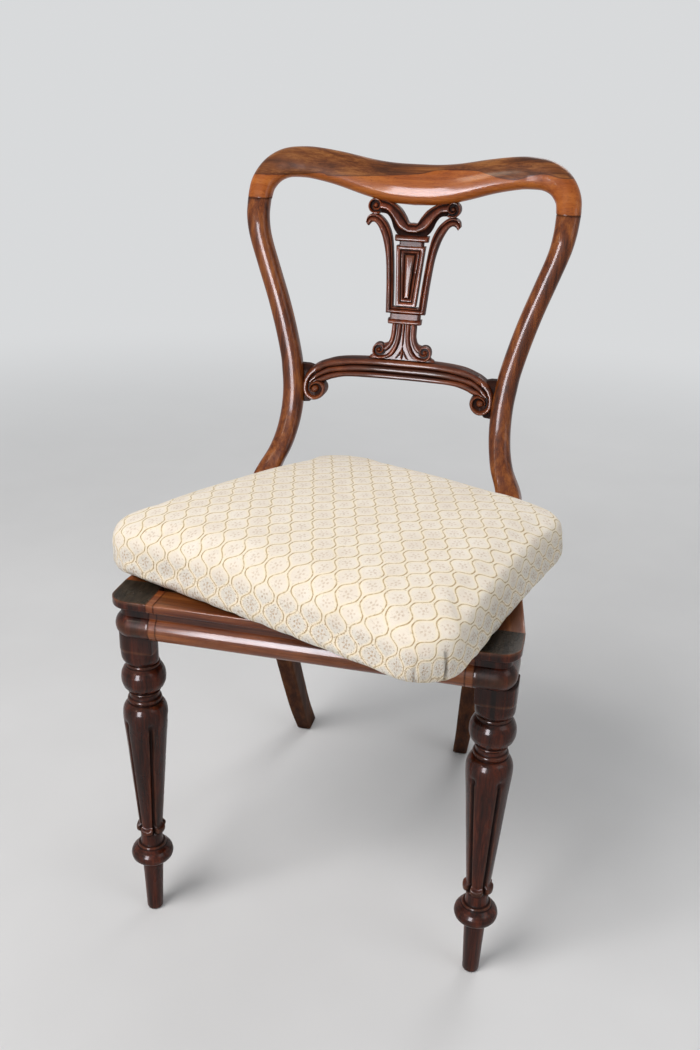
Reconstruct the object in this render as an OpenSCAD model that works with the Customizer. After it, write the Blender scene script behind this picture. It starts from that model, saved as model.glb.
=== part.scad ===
// Balloon back dining chair with a loose upholstered seat
// Millimetres, +Z up, floor at zero, the front of the chair towards -Y

/* [Seat frame] */
// Height of the top of the seat rails
seat_h = 439; // [410:1:470]
// Half the width across the front leg blocks
front_half_w = 221; // [205:1:240]
// Height of the moulded seat rails
rail_h = 50; // [42:1:58]
// Thickness of the front and side rails
rail_t = 36; // [30:1:40]
// Thickness of the back rail
back_rail_t = 28; // [22:1:30]
// Distance from the front of the front rail to the front of the back legs
frame_d = 387; // [360:1:410]
// How far the side rails draw in between front and back
side_taper = 43; // [30:1:50]

/* [Moulding] */
// Height of the flat band along the top of a rail
band_h = 10.5; // [8:0.5:13]
// Rounding under the band
band_round = 3; // [2:0.5:4]
// How far the body of the rail stands back from the band
band_step = 8.5; // [6:0.5:10]
// Radius of the half round below the band
bead_r = 16; // [13:0.5:17]
// How far the half round stands back from the band
bead_back = 2; // [1:0.5:4]

/* [Front legs] */
// Width of the leg block at the rails
block_w = 45.5; // [42:0.5:50]
// Depth of the leg block from front to back
block_d = 52; // [46:1:56]
// Rounding of the outer corner of the block
block_round = 22; // [16:1:26]
// How far the die under the block stands back from the rail's face
die_step = 14; // [10:0.5:18]
// Depth of the die from front to back
die_d = 39; // [34:1:46]
// Height of the die down to the turning
die_h = 39; // [32:1:46]
// Rounding of the outer corner of the die
die_round = 16; // [10:0.5:20]
// Largest radius of the leg's tapered vase
vase_r = 25.5; // [22:0.5:28]
// Radius of the vase at its foot
vase_foot_r = 13.7; // [12:0.1:15.5]
// Largest radius of the ball and of the ring
ball_r = 25; // [22:0.5:28]
// Radius of the foot at the floor
foot_r = 9.4; // [8:0.1:11]
// Radius of the carved grooves between the leaves
groove_r = 2.2; // [1.6:0.1:2.8]
// Number of carved leaves round a leg
leaf_count = 5; // [4:1:8]

/* [Rail ends] */
// Width of the short moulded strips beside the leg blocks
strip_w = 8.7; // [6:0.1:12]

/* [Back] */
// Height of the joint between upright and crest rail above the seat rails
shoulder_up = 367; // [340:1:395]
// How far the shoulders' middles stand out past the back legs' middles at the seat
shoulder_out = 36; // [24:1:46]
// How far the shoulders' middles stand behind the back legs' middles at the seat
shoulder_back = 87; // [65:1:110]
// Width of an upright
upright_w = 29; // [25:0.5:33]
// Thickness of an upright from front to back
upright_d = 28; // [24:0.5:32]
// Width of a back leg in the seat frame
leg_block_w = 33; // [30:0.5:36]
// Depth of a back leg in the seat frame
leg_block_d = 34; // [30:0.5:38]
// How far the back feet's middles stand in from the back legs' middles at the seat
foot_in = 43.6; // [30:0.1:55]
// How far the back feet stand behind the back legs' middles at the seat
foot_rake = 77; // [60:1:90]

/* [Crest rail] */
// Height of the crest rail at the middle
crest_h = 49; // [42:1:56]
// Thickness of the crest rail
crest_t = 28; // [24:0.5:32]
// How far the crest rail's middle lies above the shoulder joints
crest_rise = 24.5; // [18:0.5:32]
// How far the crest rail's hollow goes back behind the shoulder joints
crest_sweep = 44; // [30:1:54]

/* [Cross rail] */
// Height of the top of the cross rail above the seat rails
cross_up = 164; // [150:1:178]
// Height of the reeded cross rail
cross_h = 26; // [22:0.5:30]
// Thickness of the cross rail
cross_t = 19; // [15:0.5:22]
// How far the cross rail bows back between the uprights
cross_sag = 15; // [8:1:20]
// Radius of the scrolls at its ends
scroll_r = 18; // [15:0.5:20]
// Distance of the scrolls' middles from the uprights' middles
scroll_in = 30.5; // [24:0.1:38]
// Height of the scrolls' middles below the cross rail's top
scroll_drop = 42.5; // [36:0.5:46]

/* [Splat] */
// Thickness of the splat's frame
splat_t = 9; // [7:0.5:12]
// How far the scrolls and caps stand proud of the frame
relief = 3; // [2:0.5:5]
// Half the width across the top scrolls' middles
top_scroll_x = 52; // [46:0.5:58]
// Radius of the top scrolls
top_scroll_r = 11.5; // [9:0.5:13]
// Radius of the small scrolls at the splat's foot
low_scroll_r = 9.5; // [8:0.5:11]

/* [Loose seat] */
// How far the loose seat's front stands out past the leg blocks on each side
seat_over = 5.5; // [0:0.5:10]
// How far the loose seat's back stands out past the side rails on each side
seat_back_over = 6; // [0:0.5:10]
// How much shorter the loose seat is than the frame in front of the back legs
seat_short = 4; // [0:0.5:20]
// Height of the seat's side to the edge of its top
seat_side_h = 55; // [44:1:64]
// Rise of the seat's crown above that edge
seat_crown = 14; // [8:1:22]
// Rounding of the seat's corners
seat_round = 46; // [30:1:56]
// How far the cover draws in along each side
seat_draw = 2.5; // [0:0.5:5]
// Angle by which the loose seat lies turned on the rails
seat_turn = 22.6; // [0:0.1:30]
// Sideways place of the seat's front edge
seat_shift_x = -54; // [-70:0.1:70]
// Place of the seat's front edge behind the front rail's face
seat_shift_y = -14.5; // [-30:0.1:30]
// Thickness of the woven cover
cover_t = 1.6; // [1:0.1:2.4]

/* [Hidden] */
$fn = 64;

// Colours of the timbers and cloths
rosewood = [0.27, 0.11, 0.06];
sapwood = [0.62, 0.33, 0.12];
old_rosewood = [0.38, 0.18, 0.08];
beech = [0.72, 0.55, 0.36];
steel = [0.55, 0.55, 0.52];
webbing_buff = [0.66, 0.56, 0.40];
damask = [0.90, 0.84, 0.70];
black_cloth = [0.12, 0.11, 0.11];
horsehair = [0.30, 0.24, 0.18];

// Fits and overruns
fit_gap = 0.15;
rest_gap = 0.3;
cut = 2;

// The row's origin lies on the floor, this far behind the front rail's face
origin_back = 231.7;

// Heights and places that several pieces share
rail_low = seat_h - rail_h;
leg_mid_y = frame_d + leg_block_d / 2;
back_half_w = front_half_w - side_taper;
leg_mid_x = back_half_w - leg_block_w * 0.303;
shoulder_h = seat_h + shoulder_up;
shoulder_half = leg_mid_x + shoulder_out;
shoulder_reach = leg_mid_y + shoulder_back;
foot_half = leg_mid_x - foot_in;
cross_top = seat_h + cross_up;
seat_w = 2 * (front_half_w + seat_over);
seat_back_w = 2 * (back_half_w + seat_back_over);
seat_d = frame_d - seat_short;
side_angle = atan(side_taper / (frame_d - block_d));
tenon_t = rail_t * 0.28;
tenon_h = rail_h * 0.7;
tenon_l = block_w * 0.44;
tenon_z = rail_low + (rail_h - tenon_h) / 2;
tenon_y = rail_t * 0.42;
side_tenon_l = block_d * 0.4;
side_tenon_in = rail_t * 0.36;

// Curves through a few rows, each row a key and its values
function row_index(rows, k, i = 0) =
  i >= len(rows) - 2 || k < rows[i + 1][0] ? i : row_index(rows, k, i + 1);
function chord(rows, i, j, c) = (rows[j][c] - rows[i][c]) / (rows[j][0] - rows[i][0]);
function slope(rows, i, c) = chord(rows, max(i - 1, 0), min(i + 1, len(rows) - 1), c);
function curve(rows, k, c) =
  let (
    i = row_index(rows, k),
    d = rows[i + 1][0] - rows[i][0],
    t = (k - rows[i][0]) / d,
    a = slope(rows, i, c) * d,
    b = slope(rows, i + 1, c) * d
  )
  rows[i][c] * (2 * t ^ 3 - 3 * t ^ 2 + 1) + a * (t ^ 3 - 2 * t ^ 2 + t)
  + rows[i + 1][c] * (3 * t ^ 2 - 2 * t ^ 3) + b * (t ^ 3 - t ^ 2);
function steps(n) = [for (i = [0:n]) i / n];

// One point of a squared circle: n of 2 is round, larger is squarer
function squared(v, n) = sign(v) * abs(v) ^ (2 / n);

// A closed skin over rings that all have the same count of points
module skin(rings) {
  n = len(rings[0]);
  m = len(rings);
  points = [for (r = rings) each r];
  sides = [for (j = [0:m - 2], i = [0:n - 1]) each [
    [j * n + i, (j + 1) * n + i, j * n + (i + 1) % n],
    [j * n + (i + 1) % n, (j + 1) * n + i, (j + 1) * n + (i + 1) % n]]];
  polyhedron(points, concat(sides, [[for (i = [0:n - 1]) i]], [[for (i = [0:n - 1]) m * n - 1 - i]]));
}

// Everything is drawn from the front rail's face and then set on the origin
module set_down() {
  translate([0, -origin_back, 0]) children();
}

module mirrored(side) {
  if (side < 0) mirror([1, 0, 0]) children();
  else children();
}

// Rail moulding: x is the distance behind the front of the band, z the height
module moulding(t) {
  r = bead_r;
  bead_z = -rail_h + r;
  difference() {
    union() {
      translate([band_step, -rail_h / 2]) square([t - band_step, rail_h / 2]);
      translate([bead_back + r, -rail_h]) square([t - bead_back - r, rail_h]);
      translate([bead_back + r, bead_z]) circle(r);
      translate([0, band_round - band_h]) square([t, band_h - band_round]);
      translate([band_round, -band_h]) square([t - band_round, band_h]);
      translate([band_round, band_round - band_h]) circle(band_round);
    }
    translate([t, -rail_h - cut]) square([r + cut, rail_h + 2 * cut]);
  }
}

// A straight run of moulding along +X, its face towards -Y, its top at the seat's height
module moulding_run(length, t) {
  translate([0, 0, seat_h]) rotate([90, 0, 90]) linear_extrude(length) moulding(t);
}

// Front rail
front_rail_half = front_half_w - block_w - strip_w;

module front_tenon(gap, lead = 0) {
  translate([-lead, tenon_y - gap, tenon_z - gap])
    cube([lead + strip_w + tenon_l + gap, tenon_t + 2 * gap, tenon_h + 2 * gap]);
}

module front_rail_solid() {
  translate([-front_rail_half, 0, 0]) moulding_run(2 * front_rail_half, rail_t);
  for (s = [-1, 1]) mirrored(s) translate([front_rail_half, 0, 0]) front_tenon(0);
}

module front_rail() {
  color(old_rosewood) set_down() difference() {
    front_rail_solid();
    for (s = [-1, 1]) mirrored(s) front_brace_screws(screw_gap);
  }
}

module rail_end_strip(side) {
  color(sapwood) set_down() mirrored(side) difference() {
    translate([front_rail_half, 0, 0]) moulding_run(strip_w, rail_t);
    translate([front_rail_half, 0, 0]) front_tenon(fit_gap, cut);
  }
}

// Side rail: drawn square, then turned about its front outer corner
module side_place() {
  translate([front_half_w, block_d, 0]) rotate(side_angle) children();
}

side_len = frame_d - block_d;

module side_tenons(gap) {
  run = side_tenon_l + side_len / cos(side_angle) + back_tenon_l;
  side_place() translate([-side_tenon_in - tenon_t - gap, -side_tenon_l - gap, tenon_z - gap])
    cube([tenon_t + 2 * gap, run + gap, tenon_h + 2 * gap]);
}

back_tenon_l = leg_block_d * 0.5;

module side_rail(side) {
  color(old_rosewood) set_down() mirrored(side) difference() {
    union() {
      intersection() {
        side_place() translate([0, -rail_t, 0]) rotate(90) moulding_run(side_len + 2 * rail_t, rail_t);
        translate([0, block_d, 0]) cube([2 * front_half_w, side_len, seat_h + cut]);
      }
      intersection() {
        side_tenons(0);
        translate([0, block_d - side_tenon_l, 0])
          cube([2 * front_half_w, side_len + side_tenon_l + back_tenon_l, seat_h]);
      }
    }
    front_brace_screws(screw_gap);
    back_brace_screws(screw_gap);
  }
}

// Back rail
back_tenon_side = leg_block_w * 0.55;
back_tenon_t = leg_block_d * 0.24;
back_rail_y = frame_d + leg_block_d - back_rail_t - leg_block_d * 0.06;
back_rail_half = leg_mid_x - leg_block_w / 2;

module back_tenon(gap, lead = 0) {
  translate([-lead, back_rail_y + back_rail_t - back_tenon_t - rest_gap - gap, tenon_z - gap])
    cube([lead + back_tenon_side + gap, back_tenon_t + 2 * gap, tenon_h + 2 * gap]);
}

module back_rail() {
  color(beech) set_down() difference() {
    union() {
      translate([fit_gap - back_rail_half, back_rail_y, rail_low])
        cube([2 * (back_rail_half - fit_gap), back_rail_t, rail_h]);
      for (s = [-1, 1]) mirrored(s) translate([back_rail_half, 0, 0]) back_tenon(0, fit_gap);
    }
    for (s = [-1, 1]) mirrored(s) back_brace_screws(screw_gap);
  }
}

// Corner braces and their screws
brace_h = rail_h * 0.5;
brace_z = rail_low + rail_h * 0.28;
brace_leg = rail_t * 1.9;
screw_r = brace_h * 0.09;
screw_head_r = 2 * screw_r;
screw_l = rail_t * 1.05;
screw_gap = 0.1;

module screw(gap) {
  translate([0, 0, -gap]) cylinder(r = screw_r + gap, h = screw_l + 2 * gap);
  translate([0, 0, -gap]) cylinder(r = screw_head_r + gap, h = screw_r + gap);
}

front_brace_in = block_w + rail_t * 1.1;
side_inner_front = front_half_w - rail_t / cos(side_angle);

function side_inner(y) = side_inner_front - (y - block_d) * tan(side_angle);

// Screws are driven square to the rail that they hold, from the brace's long face
module front_brace_screws(gap) {
  z = brace_z + brace_h / 2;
  y = rail_t + brace_leg * 0.28;
  translate([side_inner(rail_t) - brace_leg * 0.78, y, z]) rotate([90, 0, 0]) screw(gap);
  side_y = rail_t + brace_leg * 0.8;
  translate([side_inner(side_y) - brace_leg * 0.22, side_y, z]) rotate([0, 90, side_angle]) screw(gap);
}

module front_brace(side) {
  color(beech) set_down() mirrored(side) difference() {
    translate([0, 0, brace_z]) linear_extrude(brace_h) polygon([
      [side_inner(rail_t) - 1.25 * brace_leg, rail_t],
      [front_half_w - block_w - rest_gap, rail_t],
      [front_half_w - block_w - rest_gap, block_d + rest_gap],
      [side_inner(block_d + rest_gap), block_d + rest_gap],
      [side_inner(rail_t + 1.25 * brace_leg), rail_t + 1.25 * brace_leg]]);
    front_brace_screws(screw_gap);
    front_brace_sinks();
  }
}

module screw_sink() {
  translate([0, 0, -screw_l]) cylinder(r = screw_head_r + screw_gap, h = screw_l + cut / 10);
}

module front_brace_sinks() {
  z = brace_z + brace_h / 2;
  y = rail_t + brace_leg * 0.28;
  translate([side_inner(rail_t) - brace_leg * 0.78, y, z]) rotate([90, 0, 0]) screw_sink();
  side_y = rail_t + brace_leg * 0.8;
  translate([side_inner(side_y) - brace_leg * 0.22, side_y, z]) rotate([0, 90, side_angle]) screw_sink();
}

module back_screw_places() {
  z = brace_z + brace_h / 2;
  side_y = back_rail_y - brace_leg * 0.8;
  translate([side_inner(back_rail_y) - brace_leg * 0.78, back_rail_y - brace_leg * 0.28, z])
    rotate([-90, 0, 0]) children();
  translate([side_inner(side_y) - brace_leg * 0.22, side_y, z]) rotate([0, 90, side_angle]) children();
}

module back_brace_screws(gap) {
  back_screw_places() screw(gap);
}

module back_brace(side) {
  color(beech) set_down() mirrored(side) difference() {
    translate([0, 0, brace_z]) linear_extrude(brace_h) polygon([
      [side_inner(back_rail_y) - 1.25 * brace_leg, back_rail_y],
      [side_inner(back_rail_y - 1.25 * brace_leg), back_rail_y - 1.25 * brace_leg],
      [side_inner(frame_d + rest_gap), frame_d + rest_gap],
      [back_rail_half - rest_gap, frame_d + rest_gap],
      [back_rail_half - rest_gap, back_rail_y]]);
    back_brace_screws(screw_gap);
    back_screw_places() screw_sink();
  }
}

module brace_screws() {
  color(steel) set_down() for (s = [-1, 1]) mirrored(s) {
    front_brace_screws(0);
    back_brace_screws(0);
  }
}

// Front leg: turned below, square in the die and moulded in the seat frame
leg_x = front_half_w - block_w / 2 - block_w * 0.015;
leg_y = block_d * 0.71;
turned_h = rail_low - die_h;
ring_z_share = 0.248;
ball_z_share = 0.943;
ring_flat_share = 0.57;
ball_flat_share = 0.72;
// Height as a share of the turned height, radius as a share of the vase's radius
vase_shares = [[0.366, 0.537], [0.476, 0.65], [0.59, 0.768], [0.70, 0.882], [0.76, 0.958],
  [0.803, 1], [0.84, 0.972], [0.872, 0.85], [0.881, 0.66]];

module leg_profile() {
  vase_rows = [for (r = vase_shares) [r[0] * turned_h, max(r[1] * vase_r, vase_foot_r)]];
  top = vase_rows[len(vase_rows) - 1];
  low = vase_rows[0];
  polygon(concat(
    [[0, 0], [foot_r, 0]],
    [[foot_r * 1.3, ring_z_share * turned_h * 0.9], [vase_foot_r * 0.95, ring_z_share * turned_h * 1.15]],
    [for (t = steps(18)) let (z = low[0] + t * (top[0] - low[0])) [curve(vase_rows, z, 1), z]],
    [[vase_r * 0.7, turned_h], [vase_r * 0.7, turned_h * 1.03], [0, turned_h * 1.03]]));
  intersection() {
    square([2 * ball_r, turned_h * 1.03]);
    union() {
      translate([ball_r * (1 - ring_flat_share), ring_z_share * turned_h]) circle(ball_r * ring_flat_share);
      translate([ball_r * (1 - ball_flat_share), ball_z_share * turned_h]) circle(ball_r * ball_flat_share);
      translate([vase_r * 0.55, turned_h * 0.8915]) circle(vase_r * 0.14);
      translate([vase_foot_r * 0.78, vase_shares[0][0] * turned_h * 0.955]) circle(vase_foot_r * 0.5);
    }
  }
}

module leaf_grooves() {
  z0 = turned_h * vase_shares[0][0];
  z1 = turned_h * 0.788;
  r0 = vase_foot_r + groove_r * 0.45;
  r1 = vase_r + groove_r * 0.45;
  lean = atan((r1 - r0) / (z1 - z0));
  for (i = [0:leaf_count - 1]) rotate(90 + (i + 0.5) * 360 / leaf_count + 180) {
    translate([r0, 0, z0]) rotate([0, lean, 0]) cylinder(r = groove_r, h = (z1 - z0) / cos(lean));
    translate([r1, 0, z1]) rotate([0, 90, 0]) cylinder(r = 1.6 * groove_r, h = groove_r, center = true);
    translate([vase_foot_r * 1.32, 0, z0 - vase_foot_r])
      cylinder(r = vase_foot_r * 0.3, h = 2 * vase_foot_r);
  }
}

// The die keeps a sharp corner beside the front rail and is rounded elsewhere
die_in = front_rail_half + strip_w * 0.17;
die_out = front_half_w - bead_back / 2;
die_back = die_step + die_d;

module die_plan() {
  back_r = die_round * 1.5;
  small_r = die_round * 0.25;
  wide = die_out - die_in;
  translate([die_in, die_step]) square([wide - die_round, die_d - back_r]);
  translate([die_in + back_r, die_step]) square([wide - back_r - die_round, die_d]);
  translate([die_in + back_r, die_step + die_round]) {
    square([wide - back_r, die_d - die_round - small_r]);
    square([wide - back_r - small_r, die_d - die_round]);
  }
  translate([die_out - die_round, die_step + die_round]) circle(die_round);
  translate([die_in + back_r, die_back - back_r]) circle(back_r);
  translate([die_out - small_r, die_back - small_r]) circle(small_r);
}

// The die's lower end is turned in to meet the ball
module die() {
  round_r = die_h * 0.9;
  intersection() {
    translate([0, 0, turned_h]) linear_extrude(die_h) die_plan();
    translate([leg_x, leg_y, turned_h + die_h * 0.74]) rotate_extrude() union() {
      intersection() {
        circle(round_r);
        translate([0, -round_r]) square([round_r, 2 * round_r]);
      }
      translate([0, -die_h * 0.16]) square([2 * round_r, die_h]);
    }
  }
}

module block_plan_box() {
  // The moulded block: straight runs along its two outer sides and a turned corner between
  r = block_round;
  translate([-block_w, 0, 0]) moulding_run(block_w - r, r);
  translate([-r, r, 0]) intersection() {
    translate([0, 0, seat_h]) rotate_extrude() intersection() {
      translate([r, 0]) mirror([1, 0]) moulding(r);
      translate([0, -rail_h - cut]) square([2 * r, rail_h + 2 * cut]);
    }
    translate([0, -2 * r, 0]) cube([2 * r, 2 * r, 2 * seat_h]);
  }
  translate([0, r, 0]) rotate(90) moulding_run(block_d - r, r);
  translate([-block_w, r, rail_low]) cube([block_w - r, block_d - r, rail_h]);
}

module front_leg(side) {
  color(rosewood) set_down() mirrored(side) difference() {
    union() {
      translate([leg_x, leg_y, 0]) {
        difference() {
          rotate_extrude() leg_profile();
          leaf_grooves();
        }
      }
      die();
      translate([front_half_w, 0, 0]) block_plan_box();
    }
    translate([front_rail_half, 0, 0]) front_tenon(fit_gap, cut);
    intersection() {
      side_tenons(fit_gap);
      translate([0, block_d - side_tenon_l - fit_gap, 0])
        cube([2 * front_half_w, side_tenon_l + cut, seat_h]);
    }
  }
}

// Back leg and upright in one piece, as level sections
ring_n = 20;
// Below the seat: height share, how far towards the foot in x and in y, width and depth shares, squareness
lower_shares = [
  [0, 1, 1, 0.65, 1.06, 9], [0.12, 0.885, 0.70, 0.69, 1.07, 9], [0.25, 0.79, 0.43, 0.73, 1.09, 9],
  [0.38, 0.70, 0.17, 0.75, 1.10, 9], [0.51, 0.585, -0.055, 0.78, 1.09, 9], [0.64, 0.44, -0.17, 0.82, 1.06, 10],
  [0.77, 0.28, -0.165, 0.87, 1.03, 11], [0.88, 0.13, -0.075, 0.93, 1.01, 12], [0.97, 0.02, -0.01, 0.99, 1, 12],
  [1, 0, 0, 1, 1, 12]];
// Above the seat: height share, x share and y share towards the shoulder, width, depth, squareness
upper_shares = [
  [0, 0, 0, 1.14, 1.21, 12], [0.025, -0.015, 0.03, 1.12, 1.16, 8], [0.057, -0.125, 0.12, 1.09, 1.09, 4.5],
  [0.112, -0.39, 0.23, 1.03, 1.03, 3], [0.166, -0.545, 0.355, 1, 1, 2.6], [0.22, -0.63, 0.465, 1, 1, 2.5],
  [0.275, -0.66, 0.555, 1, 1, 2.5], [0.33, -0.645, 0.62, 1, 1, 2.5], [0.385, -0.58, 0.665, 1, 1, 2.5],
  [0.44, -0.50, 0.695, 1, 1, 2.5], [0.547, -0.235, 0.735, 1, 1, 2.5], [0.656, 0.09, 0.76, 1, 1, 2.5],
  [0.765, 0.47, 0.785, 1, 1, 2.5], [0.874, 0.84, 0.825, 1, 1, 2.5], [0.94, 0.965, 0.88, 1.03, 1, 2.5],
  [1, 1, 1, 1.07, 1, 2.5]];
leg_level_n = 16;
upright_level_n = 30;

function lower_rows() = [for (r = lower_shares) [
  r[0] * rail_low, leg_mid_x + r[1] * (foot_half - leg_mid_x), leg_mid_y + r[2] * foot_rake,
  r[3] * leg_block_w / 2, r[4] * leg_block_d / 2, r[5]]];
function upper_rows() = [for (r = upper_shares) [
  seat_h + r[0] * (shoulder_h - seat_h), leg_mid_x + r[1] * (shoulder_half - leg_mid_x),
  leg_mid_y + r[2] * (shoulder_reach - leg_mid_y), r[3] * upright_w / 2, r[4] * upright_d / 2, r[5]]];
function level_ring(rows, z) = [for (i = [0:ring_n - 1])
  let (
    a = 360 * i / ring_n,
    n = curve(rows, z, 5),
    x = curve(rows, z, 1) + curve(rows, z, 3) * squared(cos(a), n),
    y = curve(rows, z, 2) + curve(rows, z, 4) * squared(sin(a), n)
  )
  [x, y, z]];

module back_leg_solid() {
  skin(concat(
    [for (t = steps(leg_level_n)) level_ring(lower_rows(), t * rail_low)],
    [for (t = steps(upright_level_n)) level_ring(upper_rows(), seat_h + t * (shoulder_h - seat_h))]));
}

// Dowels that hold the crest rail on the uprights
dowel_r = upright_w * 0.17;
dowel_l = upright_w * 1.5;
crest_lean = atan(crest_sweep / crest_rise) * 0.3;

module crest_dowel(gap) {
  translate([shoulder_half, shoulder_reach, shoulder_h]) rotate([-crest_lean, 0, 0])
    cylinder(r = dowel_r + gap, h = dowel_l + 2 * gap, center = true);
}

module crest_dowels() {
  color(beech) set_down() for (s = [-1, 1]) mirrored(s) crest_dowel(0);
}

// Dowels that hold the cross rail's scrolls to the uprights
cross_dowel_z = cross_top - scroll_drop;
cross_dowel_x = curve(upper_rows(), cross_dowel_z, 1);
cross_dowel_y = curve(upper_rows(), cross_dowel_z, 2);

module cross_dowel(gap) {
  translate([cross_dowel_x - upright_w * 0.15, cross_dowel_y, cross_dowel_z]) rotate([0, -90, 0])
    translate([0, 0, -gap]) cylinder(r = dowel_r * 0.7 + gap, h = upright_w * 0.9 + 2 * gap);
}

module cross_rail_dowels() {
  color(beech) set_down() for (s = [-1, 1]) mirrored(s) cross_dowel(0);
}

module back_leg(side) {
  color(rosewood) set_down() mirrored(side) difference() {
    back_leg_solid();
    crest_dowel(fit_gap);
    cross_dowel(fit_gap);
    translate([back_rail_half, 0, 0]) back_tenon(fit_gap, cut);
    intersection() {
      side_tenons(fit_gap);
      translate([0, frame_d - cut, 0]) cube([2 * front_half_w, back_tenon_l + cut + fit_gap, seat_h]);
    }
  }
}

// Crest rail: from the shoulder joint up, over and down to the middle
crest_ring_n = 22;
crest_step_n = 44;
// Distance along, x share of the shoulder's half width, height share of the rise, sweep share,
// half height share, half thickness share, squareness
crest_shares = [
  [0, 1, 0, 0, 0.32, 0.5, 2.5], [0.09, 0.985, 0.74, 0.20, 0.335, 0.49, 2.5], [0.18, 0.93, 1.40, 0.40, 0.36, 0.48, 2.5],
  [0.26, 0.845, 1.80, 0.52, 0.375, 0.48, 2.5], [0.34, 0.735, 1.90, 0.62, 0.385, 0.48, 2.5],
  [0.43, 0.637, 1.84, 0.70, 0.395, 0.48, 2.5], [0.55, 0.49, 1.62, 0.81, 0.415, 0.49, 2.5],
  [0.70, 0.294, 1.24, 0.93, 0.455, 0.5, 2.6], [0.85, 0.147, 1.05, 0.985, 0.485, 0.5, 2.6], [1, 0, 1, 1, 0.5, 0.5, 2.6]];

function crest_rows() = [for (r = crest_shares) [r[0], r[1] * shoulder_half, shoulder_reach + r[3] * crest_sweep,
  shoulder_h + r[2] * crest_rise, r[4] * crest_h, r[5] * crest_t, r[6]]];
function crest_point(k) = [curve(crest_rows(), k, 1), curve(crest_rows(), k, 2), curve(crest_rows(), k, 3)];
function unit(v) = v / norm(v);
function crest_ring(k) =
  let (
    rows = crest_rows(),
    e = 0.01,
    along = k < e ? [0, 0, 1] : k > 1 - e ? [-1, 0, 0] : unit(crest_point(k + e) - crest_point(k - e)),
    lean = 17 * min(1, k / 0.35),
    back = unit(cross(along, unit(cross([0, cos(lean), -sin(lean)], along)))),
    up = cross(back, along),
    n = curve(rows, k, 6)
  )
  [for (i = [0:crest_ring_n - 1])
    let (a = 360 * i / crest_ring_n)
    crest_point(k) + up * curve(rows, k, 4) * squared(cos(a), n) + back * curve(rows, k, 5) * squared(sin(a), n)];

function flip_ring(ring) = [for (p = ring) [-p[0], p[1], p[2]]];

module crest_solid() {
  half = [for (t = steps(crest_step_n)) crest_ring(t)];
  other = [for (j = [crest_step_n - 1:-1:0]) flip_ring(half[j])];
  skin([for (r = concat(half, other)) r]);
}

module crest_rail() {
  color(rosewood) set_down() difference() {
    crest_solid();
    for (s = [-1, 1]) mirrored(s) {
      crest_dowel(fit_gap);
      splat_tenon(fit_gap);
    }
  }
}

// Cross rail: an arched, reeded bar that ends in scrolls
scroll_z = cross_top - scroll_drop;
scroll_x = curve(upper_rows(), scroll_z, 1) - scroll_in;
// The scrolls' middles lie a little behind the uprights' middles
cross_y = curve(upper_rows(), scroll_z, 2) + upright_d * 0.142 + cross_sag - cross_t / 2;
// The cross rail and splat lean towards the crest rail's middle
back_lean = 0.955 * atan((shoulder_reach + crest_sweep - cross_y) / (shoulder_h + crest_rise - scroll_z));
// Share of the scroll's distance, drop share of the rail's height, height share
cross_shares = [[0, 0, 1], [0.3, 0, 1], [0.62, 0.035, 0.99], [0.80, 0.12, 0.98], [0.93, 0.27, 0.95], [1, 0.42, 0.9]];
// Reeded front: depth share and height share round the section
reed_shares = [[0, 0.02], [0.18, 0], [0.5, 0], [0.86, 0], [0.97, 0.05], [1, 0.16], [0.97, 0.28], [0.86, 0.35],
  [0.95, 0.42], [0.98, 0.5], [0.95, 0.58], [0.86, 0.66], [0.97, 0.73], [1, 0.84], [0.97, 0.95], [0.86, 1],
  [0.5, 1], [0.18, 1], [0, 0.98], [0, 0.5]];
cross_step_n = 28;
// The bar reaches the scrolls at full size and ends, drawn in, inside them
cross_reach_share = 0.965;
cross_end_share = 0.985;
cross_end_pinch_share = 0.6;

function cross_bow(x) = cross_y - cross_sag * (x / scroll_x) ^ 2;
function pinched(share, pinch) = 0.5 + (share - 0.5) * pinch;
function cross_ring(x, pinch = 1) =
  let (
    rows = [for (r = cross_shares) [r[0] * scroll_x, cross_top - r[1] * cross_h, r[2] * cross_h]],
    top = curve(rows, abs(x), 1),
    h = curve(rows, abs(x), 2)
  )
  [for (s = reed_shares)
    let (z = top - h * pinched(s[1], pinch))
    [x, cross_bow(x) + cross_t * (1 - pinched(s[0], pinch)) + (z - scroll_z) * tan(back_lean), z]];

// Flat scroll shape: the outer turn closes in by a steady rate
function scroll_edge(r, grow, a0, a1, n) = [for (t = steps(n))
  let (a = a0 + t * (a1 - a0), rr = r * exp(grow * a / 90)) [rr * cos(a), rr * sin(a)]];

module scroll_band(r, width, turns, n) {
  // A raised ribbon that winds in to the eye and grows narrower on the way
  edge = function(t, in) let (a = 90 - t * turns * 360, q = r * (1 - 0.62 * t) - in * width * (1 - 0.4 * t))
    [q * cos(a), q * sin(a)];
  polygon(concat([for (t = steps(n)) edge(t, 0)], [for (t = steps(n)) edge(1 - t, 1)]));
}

// The ears that join a scroll to the upright: x and height from its middle, height, thickness
ear_shares = [[0.35, -0.95, 0.36, 0.62], [0.5, 1.05, 0.5, 0.62]];
function ear_reach(z) = curve(upper_rows(), z, 1) - curve(upper_rows(), z, 3) + upright_w * 0.15 - scroll_x;

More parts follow.
